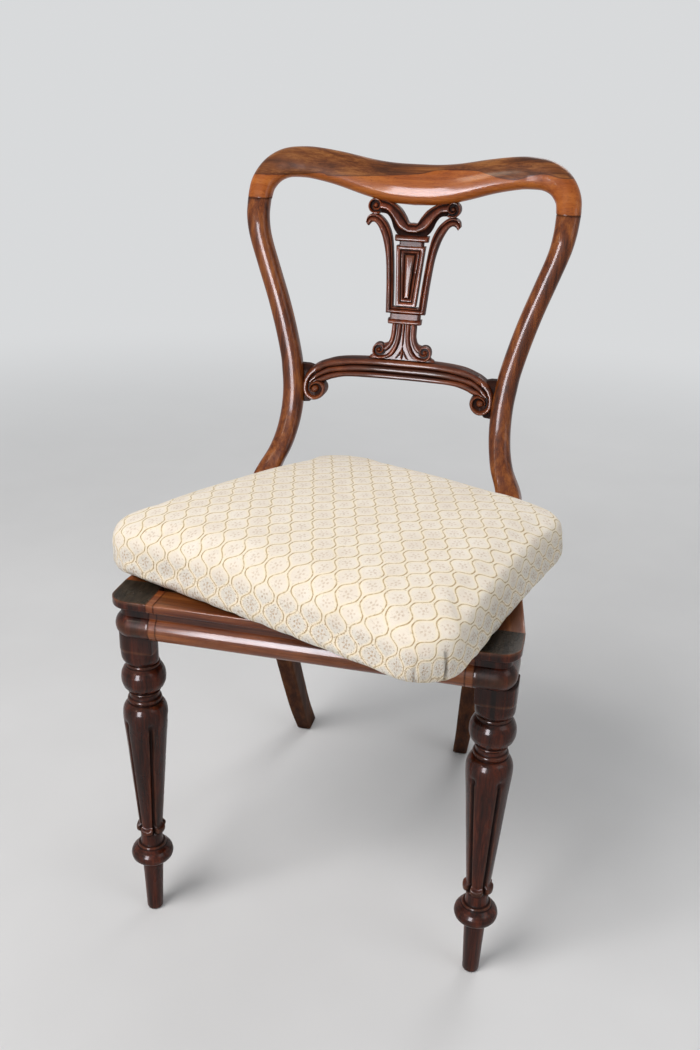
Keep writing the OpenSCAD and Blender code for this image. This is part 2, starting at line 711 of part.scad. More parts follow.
module cross_scroll() {
  // The scroll is drawn flat, faces the front and leans with the back
  translate([scroll_x, cross_bow(scroll_x) + cross_t, scroll_z]) rotate([90 - back_lean, 0, 0]) {
    linear_extrude(cross_t * 0.86) {
      polygon(concat(scroll_edge(scroll_r, 0.55, 100, 0, 16), [[-scroll_r, 0]]));
      circle(scroll_r);
    }
    linear_extrude(cross_t) scroll_band(scroll_r, scroll_r * 0.42, 1.25, 40);
    cylinder(r = scroll_r * 0.3, h = cross_t * 1.05);
    for (ear = ear_shares)
      translate([scroll_r * ear[0], scroll_r * ear[1], 0]) linear_extrude(cross_t * ear[3])
        square([ear_reach(scroll_z + scroll_r * ear[1]) - scroll_r * ear[0], scroll_r * ear[2]]);
  }
}

module cross_solid() {
  reach = scroll_x * cross_reach_share;
  skin(concat(
    [cross_ring(-scroll_x * cross_end_share, cross_end_pinch_share)],
    [for (t = steps(cross_step_n)) cross_ring((2 * t - 1) * reach)],
    [cross_ring(scroll_x * cross_end_share, cross_end_pinch_share)]));
}

module cross_rail() {
  color(rosewood) set_down() difference() {
    union() {
      cross_solid();
      for (s = [-1, 1]) mirrored(s) cross_scroll();
    }
    for (s = [-1, 1]) mirrored(s) {
      back_leg_solid();
      cross_dowel(fit_gap);
    }
    splat_foot_tenon(fit_gap);
  }
}

// Splat: drawn flat with y up from the cross rail's top, then leaned back
splat_h = (shoulder_h - cross_top) / cos(back_lean);
splat_y = cross_bow(0) + (cross_top - scroll_z) * tan(back_lean);

module splat_place() {
  translate([0, splat_y + splat_t + relief, cross_top]) rotate([90 - back_lean, 0, 0]) children();
}

// Shares of the splat's height and of the top scrolls' distance
strap_in_shares = [[0.345, 0.335], [0.5, 0.38], [0.68, 0.455], [0.775, 0.525], [0.85, 0.665], [0.90, 0.85], [0.915, 1.08]];
strap_out_shares = [[0.29, 0.515], [0.49, 0.57], [0.64, 0.64], [0.75, 0.75], [0.825, 0.895], [0.85, 1.06], [0.845, 1.23]];
band_out_shares = [[0.86, 0.13], [0.89, 0.175], [0.955, 0.36], [0.985, 0.6], [1, 0.9]];
band_in_shares = [[0.79, 0.39], [0.83, 0.475], [0.88, 0.60], [0.915, 0.82], [0.92, 1]];

function splat_points(shares) = [for (s = shares) [s[1] * top_scroll_x, s[0] * splat_h]];
function turned_back(list) = [for (i = [len(list) - 1:-1:0]) list[i]];

module splat_box(half_low, half_high, low, high, t) {
  linear_extrude(t) polygon([[-half_low, low], [half_low, low], [half_high, high], [-half_high, high]]);
}

module splat_solid() {
  s = top_scroll_x;
  h = splat_h;
  for (m = [-1, 1]) mirrored(m) {
    linear_extrude(splat_t)
      polygon(concat(splat_points(strap_in_shares), turned_back(splat_points(strap_out_shares))));
    linear_extrude(splat_t + relief)
      polygon(concat(splat_points(band_out_shares), turned_back(splat_points(band_in_shares))));
    translate([s, 0.965 * h, 0]) {
      linear_extrude(splat_t + relief * 0.6) circle(top_scroll_r);
      linear_extrude(splat_t + 1.5 * relief) scroll_band(top_scroll_r, top_scroll_r * 0.36, 1.25, 32);
      cylinder(r = top_scroll_r * 0.28, h = splat_t + 1.7 * relief);
    }
    translate([0.594 * s, 0.062 * h, 0]) {
      linear_extrude(splat_t + relief * 0.6) circle(low_scroll_r);
      linear_extrude(splat_t + 1.5 * relief) scroll_band(low_scroll_r, low_scroll_r * 0.36, 1.25, 28);
      cylinder(r = low_scroll_r * 0.28, h = splat_t + 1.7 * relief);
    }
    linear_extrude(splat_t + relief) polygon([
      [0, 0.22 * h], [0.31 * s, 0.22 * h], [0.315 * s, 0.14 * h], [0.36 * s, 0.09 * h], [0.6 * s, 0.02 * h],
      [0.45 * s, -0.01 * h], [0.22 * s, 0.04 * h], [0.09 * s, 0.12 * h], [0, 0.14 * h]]);
    linear_extrude(splat_t)
      polygon([[0, -0.02 * h], [0.87 * s, -0.02 * h], [0.72 * s, 0.045 * h], [0, 0.12 * h]]);
  }
  splat_box(0.39 * s, 0.39 * s, 0.79 * h, 0.865 * h, splat_t + relief);
  splat_box(0.455 * s, 0.455 * s, 0.757 * h, 0.79 * h, splat_t + 1.6 * relief);
  splat_box(0.335 * s, 0.335 * s, 0.715 * h, 0.757 * h, splat_t);
  difference() {
    splat_box(0.27 * s, 0.38 * s, 0.335 * h, 0.73 * h, splat_t + relief);
    translate([0, 0, splat_t - relief]) splat_box(0.16 * s, 0.265 * s, 0.37 * h, 0.71 * h, 3 * relief);
  }
  splat_box(0.054 * s, 0.117 * s, 0.40 * h, 0.67 * h, splat_t + relief);
  splat_box(0.516 * s, 0.516 * s, 0.29 * h, 0.34 * h, splat_t + relief);
  splat_box(0.40 * s, 0.40 * s, 0.255 * h, 0.29 * h, splat_t);
  splat_box(0.445 * s, 0.445 * s, 0.22 * h, 0.257 * h, splat_t + 1.6 * relief);
}

// Tenons under the top scrolls' tops and under the foot
module splat_tenon(gap) {
  splat_place() translate([top_scroll_x - top_scroll_r * 0.6 - gap, splat_h * 0.96, splat_t * 0.2 - gap])
    cube([top_scroll_r * 1.2 + 2 * gap, crest_h * 0.42 + gap, splat_t * 0.6 + 2 * gap]);
}

module splat_foot_tenon(gap) {
  splat_place() translate([-top_scroll_x * 0.4 - gap, -cross_h * 0.45 - gap, splat_t * 0.2 - gap])
    cube([top_scroll_x * 0.8 + 2 * gap, cross_h * 0.5 + gap, splat_t * 0.6 + 2 * gap]);
}

module splat() {
  color(rosewood) set_down() union() {
    difference() {
      splat_place() splat_solid();
      crest_solid();
      cross_solid();
    }
    for (s = [-1, 1]) mirrored(s) splat_tenon(0);
    splat_foot_tenon(0);
  }
}

// Loose seat: drawn about the middle of its front edge, then laid askew on the rails
module seat_place() {
  set_down() translate([seat_shift_x, seat_shift_y, seat_h + rest_gap]) rotate(-seat_turn) children();
}

arc_n = 5;
side_n = 5;
cloth_t = 0.8;
bar_h = seat_side_h * 0.4;
bar_w = seat_d * 0.12;
tuck_w = bar_w * 0.75;
web_t = cover_t * 1.2;
bar_z = cloth_t + cover_t + rest_gap / 2;
hessian_t = cloth_t;

// The seat's outline, set in by a distance, with the sides drawn in between the corners
function seat_half(y, inset) = (seat_w / 2 + (seat_back_w - seat_w) / 2 * y / seat_d) - inset;
function seat_corner(i, inset) =
  let (y = i < 2 ? inset : seat_d - inset, side = i == 0 || i == 3 ? -1 : 1) [side * seat_half(y, inset), y];
function corner_arc(i, inset, r) =
  let (
    c = seat_corner(i, inset),
    inward = [i == 0 || i == 3 ? 1 : -1, i < 2 ? 1 : -1],
    a0 = [180, 270, 0, 90][i]
  )
  [for (t = steps(arc_n))
    [c[0] + inward[0] * r, c[1] + inward[1] * r] + r * [cos(a0 + 90 * t), sin(a0 + 90 * t)]];
function seat_outline(inset, draw) = [for (i = [0:3])
  let (
    here = corner_arc(i, inset, max(seat_round - inset, seat_round / 4)),
    next = corner_arc((i + 1) % 4, inset, max(seat_round - inset, seat_round / 4)),
    a = here[arc_n],
    b = next[0],
    side = unit(b - a),
    inward = [-side[1], side[0]]
  )
  each concat(here, [for (j = [1:side_n - 1]) a + (b - a) * j / side_n + inward * draw * sin(180 * j / side_n)])];

seat_mid = [0, seat_d / 2];
function seat_ring(inset, scale_by, z, draw) = [for (p = seat_outline(inset, draw))
  let (q = seat_mid + (p - seat_mid) * scale_by) [q[0], q[1], z]];
function crown_z(f, crown) = crown * (1 - f ^ 2.6);

// A crowned pad: the side swells a little, rolls over at the top and rises to the crown
module crowned_pad(inset, low, side_h, crown, low_roll) {
  skin(concat(
    [seat_ring(inset + low_roll, 1, low, seat_draw)],
    [for (s = [[0.35, 0.08], [0.02, 0.26], [-0.04, 0.55], [0.10, 0.78], [0.52, 0.95]])
      seat_ring(inset + low_roll * s[0], 1, low + (side_h - low) * s[1], seat_draw)],
    [for (f = [0.93, 0.82, 0.66, 0.46, 0.22])
      seat_ring(inset + low_roll * 0.5, f, side_h + crown_z(f, crown), seat_draw)],
    [seat_ring(inset + low_roll * 0.5, 0.04, side_h + crown, seat_draw)]));
}

edge_roll = seat_side_h * 0.16;
seat_edge = cover_t * 2.2 + rest_gap + edge_roll + seat_draw;

module seat_cover() {
  color(damask) seat_place() difference() {
    crowned_pad(0, cloth_t, seat_side_h, seat_crown, edge_roll);
    crowned_pad(cover_t, cloth_t + cover_t, seat_side_h - cover_t, seat_crown, edge_roll);
    translate([0, 0, -cut]) linear_extrude(cloth_t + cover_t + 2 * cut) polygon(seat_outline(tuck_w, 0));
    tack_row(tack_gap);
  }
}

module bar_prism(low, high) {
  translate([0, 0, low]) linear_extrude(high - low) polygon(seat_outline(seat_edge, 0));
}

module stuffing() {
  color(horsehair) seat_place() difference() {
    crowned_pad(cover_t + rest_gap, cloth_t + cover_t, seat_side_h - cover_t - rest_gap, seat_crown, edge_roll);
    translate([-seat_w, -cut, -cut]) cube([2 * seat_w, seat_d + 2 * cut, cut + bar_z + bar_h * 0.3]);
    translate([0, 0, -cut]) linear_extrude(bar_z + bar_h + 2 * web_t + hessian_t + rest_gap + cut)
      polygon(seat_outline(seat_edge - rest_gap, 0));
  }
}

// The seat's own frame: four bars halved and dowelled at the corners
module bar_blank(y0, y1, x0, x1) {
  intersection() {
    bar_prism(bar_z, bar_z + bar_h);
    translate([x0, y0, 0]) cube([x1 - x0, y1 - y0, 2 * seat_side_h]);
  }
}

bar_dowel_r = bar_h * 0.2;
bar_dowel_l = bar_w;

function bar_inner(y) = seat_half(y, seat_edge) - bar_w;

module bar_dowel_row(gap) {
  // Two dowels side by side across each joint between a side bar and an end bar
  for (s = [-1, 1], y = [seat_edge + bar_w, seat_d - seat_edge - bar_w], k = [0.3, 0.7])
    translate([s * (bar_inner(y) + k * bar_w), y, bar_z + bar_h / 2]) rotate([90, 0, 0])
      cylinder(r = bar_dowel_r + gap, h = bar_dowel_l + 2 * gap, center = true);
}

module seat_end_bar(y0) {
  difference() {
    bar_blank(y0, y0 + bar_w, -seat_w, seat_w);
    bar_dowel_row(fit_gap / 2);
    tack_row(tack_gap);
  }
}

module seat_side_bar(side) {
  y0 = seat_edge + bar_w;
  y1 = seat_d - seat_edge - bar_w;
  lean = atan((seat_w - seat_back_w) / 2 / seat_d);
  color(beech) seat_place() mirrored(side) difference() {
    bar_blank(y0, y1, 0, seat_w);
    translate([bar_inner(y0), y0, -cut]) rotate(lean) translate([-seat_w, -seat_d, 0])
      cube([seat_w, 3 * seat_d, 2 * seat_side_h]);
    mirrored(side) bar_dowel_row(fit_gap / 2);
    mirrored(side) tack_row(tack_gap);
  }
}

module seat_bar_dowels() {
  color(beech) seat_place() bar_dowel_row(0);
}

// Webbing over the bars, first lengthways and then across
web_n = 4;
web_w = seat_w * 0.115;

module lengthways_webbing() {
  z = bar_z + bar_h;
  half = seat_back_w / 2 - seat_edge - bar_w * 0.4;
  color(webbing_buff) seat_place() for (i = [0:web_n - 1])
    translate([-half + i * (2 * half - web_w) / (web_n - 1), seat_edge + bar_w * 0.3, z])
      cube([web_w, seat_d - 2 * seat_edge - bar_w * 0.6, web_t]);
}

module crossways_webbing() {
  z = bar_z + bar_h + web_t;
  y0 = seat_edge + bar_w * 0.9;
  y1 = seat_d - seat_edge - bar_w * 0.9;
  color(webbing_buff) seat_place() for (i = [0:web_n - 1])
    let (y = y0 + i * (y1 - y0 - web_w) / (web_n - 1), half = seat_half(y + web_w, seat_edge) - bar_w * 0.3)
      translate([-half, y, z]) cube([2 * half, web_w, web_t]);
}

module hessian() {
  color(webbing_buff) seat_place() translate([0, 0, bar_z + bar_h + 2 * web_t])
    linear_extrude(hessian_t) polygon(seat_outline(seat_edge + bar_w * 0.12, 0));
}

module bottom_cloth() {
  color(black_cloth) seat_place() linear_extrude(cloth_t) polygon(seat_outline(seat_edge + bar_w * 0.15, 0));
}

// Tacks that hold the cover's turned edge and the bottom cloth
tack_r = cover_t * 0.9;
tack_l = cover_t + bar_h * 0.25;
tack_gap = 0.1;
tacks_per_side = 8;
tack_side_n = 12;

module tack_row(gap) {
  inset = seat_edge + bar_w * 0.3;
  for (i = [0:3], k = [0:tacks_per_side - 1])
    let (
      a = seat_corner(i, inset),
      b = seat_corner((i + 1) % 4, inset),
      p = a + (b - a) * (k + 0.5) / tacks_per_side
    )
      translate([p[0], p[1], cloth_t - gap])
        cylinder(r1 = tack_r * 0.5 + gap, r2 = tack_r * 0.3 + gap, h = tack_l + 2 * gap, $fn = tack_side_n);
}

module cloth_tacks() {
  color(steel) seat_place() tack_row(0);
}

crest_rail();
back_leg(-1);  // left_back_leg
back_leg(1);  // right_back_leg
cross_rail();
splat();
front_rail();
side_rail(-1);  // left_side_rail
side_rail(1);  // right_side_rail
back_rail();
front_leg(-1);  // left_front_leg
front_leg(1);  // right_front_leg
rail_end_strip(-1);  // left_rail_end_strip
rail_end_strip(1);  // right_rail_end_strip
front_brace(-1);  // front_left_brace
front_brace(1);  // front_right_brace
back_brace(-1);  // back_left_brace
back_brace(1);  // back_right_brace
brace_screws();
crest_dowels();
cross_rail_dowels();
color(beech) seat_place() seat_end_bar(seat_edge);  // seat_front_bar
color(beech) seat_place() seat_end_bar(seat_d - seat_edge - bar_w);  // seat_back_bar
seat_side_bar(-1);  // seat_left_bar
seat_side_bar(1);  // seat_right_bar
seat_bar_dowels();
lengthways_webbing();
crossways_webbing();
hessian();
stuffing();
seat_cover();
bottom_cloth();
cloth_tacks();
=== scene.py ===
"""Balloon back dining chair with a loose upholstered seat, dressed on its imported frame."""

import logging
import math
from dataclasses import dataclass, field
from enum import Enum

import bpy
import numpy as np
from mathutils import Matrix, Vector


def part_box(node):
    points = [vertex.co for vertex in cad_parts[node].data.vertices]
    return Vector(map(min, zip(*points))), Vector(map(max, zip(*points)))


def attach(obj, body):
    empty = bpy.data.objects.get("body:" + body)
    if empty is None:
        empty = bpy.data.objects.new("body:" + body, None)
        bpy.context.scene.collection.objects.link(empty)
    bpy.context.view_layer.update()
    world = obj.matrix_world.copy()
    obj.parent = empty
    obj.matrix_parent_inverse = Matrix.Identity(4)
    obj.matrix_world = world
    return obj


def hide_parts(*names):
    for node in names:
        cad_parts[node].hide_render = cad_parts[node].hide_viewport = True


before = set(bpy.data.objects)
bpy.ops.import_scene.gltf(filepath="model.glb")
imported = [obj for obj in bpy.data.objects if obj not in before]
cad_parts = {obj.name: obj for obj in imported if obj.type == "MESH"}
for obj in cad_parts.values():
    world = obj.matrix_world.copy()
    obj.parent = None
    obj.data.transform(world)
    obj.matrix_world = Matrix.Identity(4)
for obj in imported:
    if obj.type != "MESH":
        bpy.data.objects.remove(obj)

Array = np.ndarray
MM = 0.001
FRAME_BODY = "chair_frame"
SEAT_BODY = "loose_seat"
SEAT_TURN = 22.6
log = logging.getLogger("chair")


# Curves and closed surfaces

def through(rows: list, keys: Array) -> Array:
    """Cubic curve through a table: each span is a Hermite piece whose end slopes are the chords beside it.

    Args:
        rows: Rows of a rising key and its values.
        keys: The keys to work out.

    Returns:
        One row of values for each key.
    """
    table = np.asarray(rows, float)
    knot, value = table[:, 0], table[:, 1:]
    low = np.maximum(np.arange(len(knot)) - 1, 0)
    high = np.minimum(np.arange(len(knot)) + 1, len(knot) - 1)
    slope = (value[high] - value[low]) / (knot[high] - knot[low])[:, None]
    keys = np.asarray(keys, float)
    i = np.clip(np.searchsorted(knot, keys, side="right") - 1, 0, len(knot) - 2)
    span = (knot[i + 1] - knot[i])[:, None]
    t = np.clip((keys - knot[i])[:, None] / span, 0, 1)
    start = value[i] * (2 * t**3 - 3 * t**2 + 1) + slope[i] * span * (t**3 - 2 * t**2 + t)
    return start + value[i + 1] * (3 * t**2 - 2 * t**3) + slope[i + 1] * span * (t**3 - t**2)


def along(points: list, count: int) -> Array:
    """Smooth path through points, at even steps of the chord length between them.

    Args:
        points: The points that the path goes through.
        count: How many points to return.

    Returns:
        The path's points.
    """
    pts = np.asarray(points, float)
    far = np.concatenate([[0], np.cumsum(np.linalg.norm(np.diff(pts, axis=0), axis=1))])
    return through(np.column_stack([far, pts]), np.linspace(0, far[-1], count))


def circle(x: float, y: float, radius: object, turn: Array) -> Array:
    """Points round a middle: the middle plus the radius times the cosine and the sine of each turn."""
    return np.column_stack([x + radius * np.cos(turn), y + radius * np.sin(turn)])


def full_turn(count: int) -> Array:
    """Even steps of a whole turn, in radians, without its end."""
    return np.linspace(0, 2 * math.pi, count, endpoint=False)


def spiral(middle: tuple, rows: list, count: int) -> Array:
    """Scroll edge: the radius is a smooth function of the angle.

    Args:
        middle: The scroll's middle.
        rows: Angle in degrees and radius, the angle rising or falling.
        count: How many points to return.

    Returns:
        The edge's points, one for each even step of angle.
    """
    way = 1 if rows[-1][0] > rows[0][0] else -1
    angle = np.linspace(rows[0][0], rows[-1][0], count)
    radius = through([(way * a, r) for a, r in rows], way * angle)[:, 0]
    return circle(*middle, radius, np.radians(angle))


def ease(value: Array, low: float, high: float) -> Array:
    """Smooth step from 0 at low to 1 at high: 3t squared less 2t cubed."""
    t = np.clip((np.asarray(value, float) - low) / (high - low), 0, 1)
    return t * t * (3 - 2 * t)


@dataclass
class Skin:
    """A surface in millimetres: its points, its faces as arrays of corners, and its points' marks."""

    points: Array
    faces: list[Array]
    marks: dict[str, Array] = field(default_factory=dict)

    def volume(self) -> float:
        """Sum of the signed tetrahedra from the origin to every face, split as a fan."""
        total = 0.0
        for f in self.faces:
            for k in range(1, f.shape[1] - 1):
                a, b, c = self.points[f[:, 0]], self.points[f[:, k]], self.points[f[:, k + 1]]
                total += float(np.einsum("ij,ij->", a, np.cross(b, c)))
        return total / 6

    def outward(self) -> "Skin":
        """The same surface with its faces turned to point outwards."""
        if self.volume() < 0:
            self.faces = [f[:, ::-1] for f in self.faces]
        return self

    def mirrored(self) -> "Skin":
        """The surface on the chair's other side: x changes its sign."""
        points = self.points * np.array([-1.0, 1.0, 1.0])
        return Skin(points, [f[:, ::-1] for f in self.faces], dict(self.marks))


def joined(skins: list[Skin]) -> Skin:
    """Several surfaces as one, with the marks that the first one has.

    Args:
        skins: The surfaces.

    Returns:
        One surface that holds them all.
    """
    starts = np.cumsum([0] + [len(s.points) for s in skins[:-1]])
    faces = [f + start for s, start in zip(skins, starts) for f in s.faces]
    marks = {key: np.concatenate([s.marks[key] for s in skins]) for key in skins[0].marks}
    return Skin(np.concatenate([s.points for s in skins]), faces, marks)


def tube(rings: Array, **marks: Array) -> Skin:
    """Closed skin over rings: four-sided faces between neighbours, and a fan to the middle at each end.

    Args:
        rings: Rings of points, shaped (rings, points, 3).
        marks: Values for the points, shaped (rings, points).

    Returns:
        The closed surface, pointing outwards.
    """
    m, n = rings.shape[:2]
    j, i = np.meshgrid(np.arange(m - 1), np.arange(n), indexing="ij")
    k = (i + 1) % n
    sides = np.stack([j * n + i, j * n + k, (j + 1) * n + k, (j + 1) * n + i], -1).reshape(-1, 4)
    one = np.arange(n)
    two = (one + 1) % n
    first = np.column_stack([np.full(n, m * n), two, one])
    last = np.column_stack([np.full(n, m * n + 1), (m - 1) * n + one, (m - 1) * n + two])
    points = np.concatenate([rings.reshape(-1, 3), rings[[0, -1]].mean(axis=1)])
    flat = {}
    for key, value in marks.items():
        full = np.broadcast_to(value, (m, n))
        flat[key] = np.concatenate([full.reshape(-1), full[[0, -1]].mean(axis=1)])
    return Skin(points, [sides, first, last], flat).outward()


def ringed(x: object, y: object, z: object) -> Array:
    """Rings of points from three arrays of coordinates that are stretched to one shape."""
    return np.stack(np.broadcast_arrays(x, y, z), -1)


def squared(angle: Array, power: Array) -> tuple[Array, Array]:
    """Point of a squared circle, sign times size to the power 2/n of the cosine and the sine.

    Args:
        angle: Angles round the section.
        power: 2 is round, larger is squarer.

    Returns:
        Both coordinates.
    """
    c, s = np.cos(angle), np.sin(angle)
    return np.sign(c) * np.abs(c) ** (2 / power), np.sign(s) * np.abs(s) ** (2 / power)


def softened(rings: Array, edge: float) -> Array:
    """Rings with both ends rounded over: the outermost rings draw in by a quarter circle.

    Args:
        rings: Rings of points, shaped (rings, points, 3).
        edge: Radius of the rounding.

    Returns:
        The rings with three rounded ones added at each end.
    """
    turn = np.radians([30, 60, 90])[:, None, None]

    def end(ring: Array, inner: Array) -> Array:
        """Copies of an end ring that step inwards, for one end."""
        middle = ring.mean(axis=0)
        out = ring - middle
        size = np.linalg.norm(out, axis=1, keepdims=True)
        axis = middle - inner.mean(axis=0)
        axis = axis / np.linalg.norm(axis)
        shrink = 1 - edge * (1 - np.cos(turn)) / np.maximum(size, 2 * edge)
        return middle + out * shrink + axis * edge * (np.sin(turn) - 1)

    first = end(rings[0], rings[1])[::-1]
    last = end(rings[-1], rings[-2])
    head = (rings[0] - rings[1]).mean(axis=0)
    tail = (rings[-1] - rings[-2]).mean(axis=0)
    body = rings.copy()
    body[0] -= head / np.linalg.norm(head) * edge
    body[-1] -= tail / np.linalg.norm(tail) * edge
    return np.concatenate([first, body, last])


# Shader nodes

def srgb(red: float, green: float, blue: float) -> tuple[float, float, float, float]:
    """Linear colour of a screen colour given as 0 to 255."""
    c = np.array([red, green, blue]) / 255
    linear = np.where(c <= 0.04045, c / 12.92, ((c + 0.055) / 1.055) ** 2.4)
    return (*linear.tolist(), 1.0)


class Net:
    """Short calls that add nodes to a tree and join their sockets."""

    def __init__(self, tree: bpy.types.NodeTree) -> None:
        """Keeps the tree that the nodes go into."""
        self.tree = tree

    def node(self, kind: str, **settings: object) -> bpy.types.Node:
        """Adds a node and sets its properties."""
        made = self.tree.nodes.new(kind)
        for key, value in settings.items():
            setattr(made, key, value)
        return made

    def put(self, socket: bpy.types.NodeSocket, value: object) -> None:
        """Joins a socket to an output, or gives it a plain value."""
        if isinstance(value, bpy.types.NodeSocket):
            self.tree.links.new(value, socket)
        else:
            socket.default_value = value

    def math(self, operation: str, *values: object) -> bpy.types.NodeSocket:
        """Root, sine or other operation on up to three values."""
        made = self.node("ShaderNodeMath", operation=operation)
        for socket, value in zip(made.inputs, values):
            self.put(socket, value)
        return made.outputs[0]

    def times(self, first: object, second: object, *more: object) -> bpy.types.NodeSocket:
        """Product of two values, to which a third one is added where it is given."""
        return self.math("MULTIPLY_ADD" if more else "MULTIPLY", first, second, *more)

    def less(self, first: object, second: object) -> bpy.types.NodeSocket:
        """The first value less the second."""
        return self.math("SUBTRACT", first, second)

    def wrapped(self, value: object) -> bpy.types.NodeSocket:
        """A value brought to between minus a half and a half by whole steps."""
        return self.math("WRAP", value, 0.5, -0.5)

    def mix(self, share: object, first: object, second: object, blend: str = "MIX") -> bpy.types.NodeSocket:
        """Blend of two colours."""
        made = self.node("ShaderNodeMix", data_type="RGBA", blend_type=blend)
        self.put(made.inputs[0], share)
        self.put(made.inputs[6], first)
        self.put(made.inputs[7], second)
        return made.outputs[2]

    def between(self, value: object, low: float, high: float, first: float = 0.0,
                last: float = 1.0) -> bpy.types.NodeSocket:
        """Smooth step of a value from low to high, set between first and last."""
        made = self.node("ShaderNodeMapRange", interpolation_type="SMOOTHSTEP")
        for socket, number in zip(made.inputs, (value, low, high, first, last)):
            self.put(socket, number)
        return made.outputs[0]

    def noise(self, vector: object, scale: float, detail: float = 3.0,
              rough: float = 0.55) -> bpy.types.NodeSocket:
        """Cloudy noise."""
        made = self.node("ShaderNodeTexNoise")
        self.put(made.inputs["Vector"], vector)
        self.put(made.inputs["Scale"], scale)
        self.put(made.inputs["Detail"], detail)
        self.put(made.inputs["Roughness"], rough)
        return made.outputs[0]

    def mapping(self, vector: object, scale: tuple = (1, 1, 1),
                turn: tuple = (0, 0, 0)) -> bpy.types.NodeSocket:
        """Scaled and turned coordinates."""
        made = self.node("ShaderNodeMapping")
        self.put(made.inputs["Vector"], vector)
        self.put(made.inputs["Scale"], scale)
        self.put(made.inputs["Rotation"], turn)
        return made.outputs[0]

    def drawn(self, vector: object, scale: tuple, detail: float,
              rough: float = 0.55) -> bpy.types.NodeSocket:
        """Noise on scaled coordinates: it is drawn out where the scale is small."""
        return self.noise(self.mapping(vector, scale), 1.0, detail, rough)

    def bump(self, shader: bpy.types.Node, height: object, strength: float, distance: float) -> None:
        """Raises a shader's surface by a height between 0 and 1 times a distance in metres."""
        made = self.node("ShaderNodeBump")
        self.put(made.inputs["Height"], height)
        self.put(made.inputs["Strength"], strength)
        self.put(made.inputs["Distance"], distance)
        self.put(shader.inputs["Normal"], made.outputs[0])

    def ramp(self, share: object, stops: list) -> bpy.types.NodeSocket:
        """Colour ramp through stops of place and colour."""
        made = self.node("ShaderNodeValToRGB")
        parts = made.color_ramp.elements
        while len(parts) < len(stops):
            parts.new(0.5)
        for part, (place, colour) in zip(parts, stops):
            part.position = place
            part.color = colour
        self.put(made.inputs[0], share)
        return made.outputs[0]

    def mark(self, name: str, output: str = "Fac") -> bpy.types.NodeSocket:
        """A value that is marked at the mesh's points."""
        return self.node("ShaderNodeAttribute", attribute_name=name).outputs[output]

    def group(self, tree: bpy.types.NodeTree, **values: object) -> bpy.types.Node:
        """Places a node group and sets its inputs."""
        made = self.node("ShaderNodeGroup", node_tree=tree)
        for key, value in values.items():
            self.put(made.inputs[key], value)
        return made


def new_material(name: str) -> tuple[bpy.types.Material, Net, bpy.types.Node]:
    """Starts a material.

    Args:
        name: The material's name.

    Returns:
        The material, its net and its principled shader.
    """
    made = bpy.data.materials.new(name)
    made.use_nodes = True
    return made, Net(made.node_tree), made.node_tree.nodes["Principled BSDF"]


def new_group(name: str, inputs: tuple, outputs: tuple) -> tuple[bpy.types.NodeTree, Net, dict, dict]:
    """Starts a shader node group. Sockets named Vector or Color are of that kind, the others are numbers.

    Args:
        name: The group's name.
        inputs: The inputs' names.
        outputs: The outputs' names.

    Returns:
        The tree, its net, the inputs' sockets and the outputs' sockets.
    """
    tree = bpy.data.node_groups.new(name, "ShaderNodeTree")
    for way, keys in (("INPUT", inputs), ("OUTPUT", outputs)):
        for key in keys:
            kind = key if key in ("Vector", "Color") else "Float"
            tree.interface.new_socket(name=key, in_out=way, socket_type="NodeSocket" + kind)
    net = Net(tree)
    start = net.node("NodeGroupInput")
    end = net.node("NodeGroupOutput")
    return tree, net, {k: start.outputs[k] for k in inputs}, {k: end.inputs[k] for k in outputs}


def posed(x: Array, y: Array, z: Array, place: tuple) -> Matrix:
    """The matrix that stands a thing at a place along three axes."""
    return Matrix([[x[i], y[i], z[i], place[i]] for i in range(3)] + [[0, 0, 0, 1]])


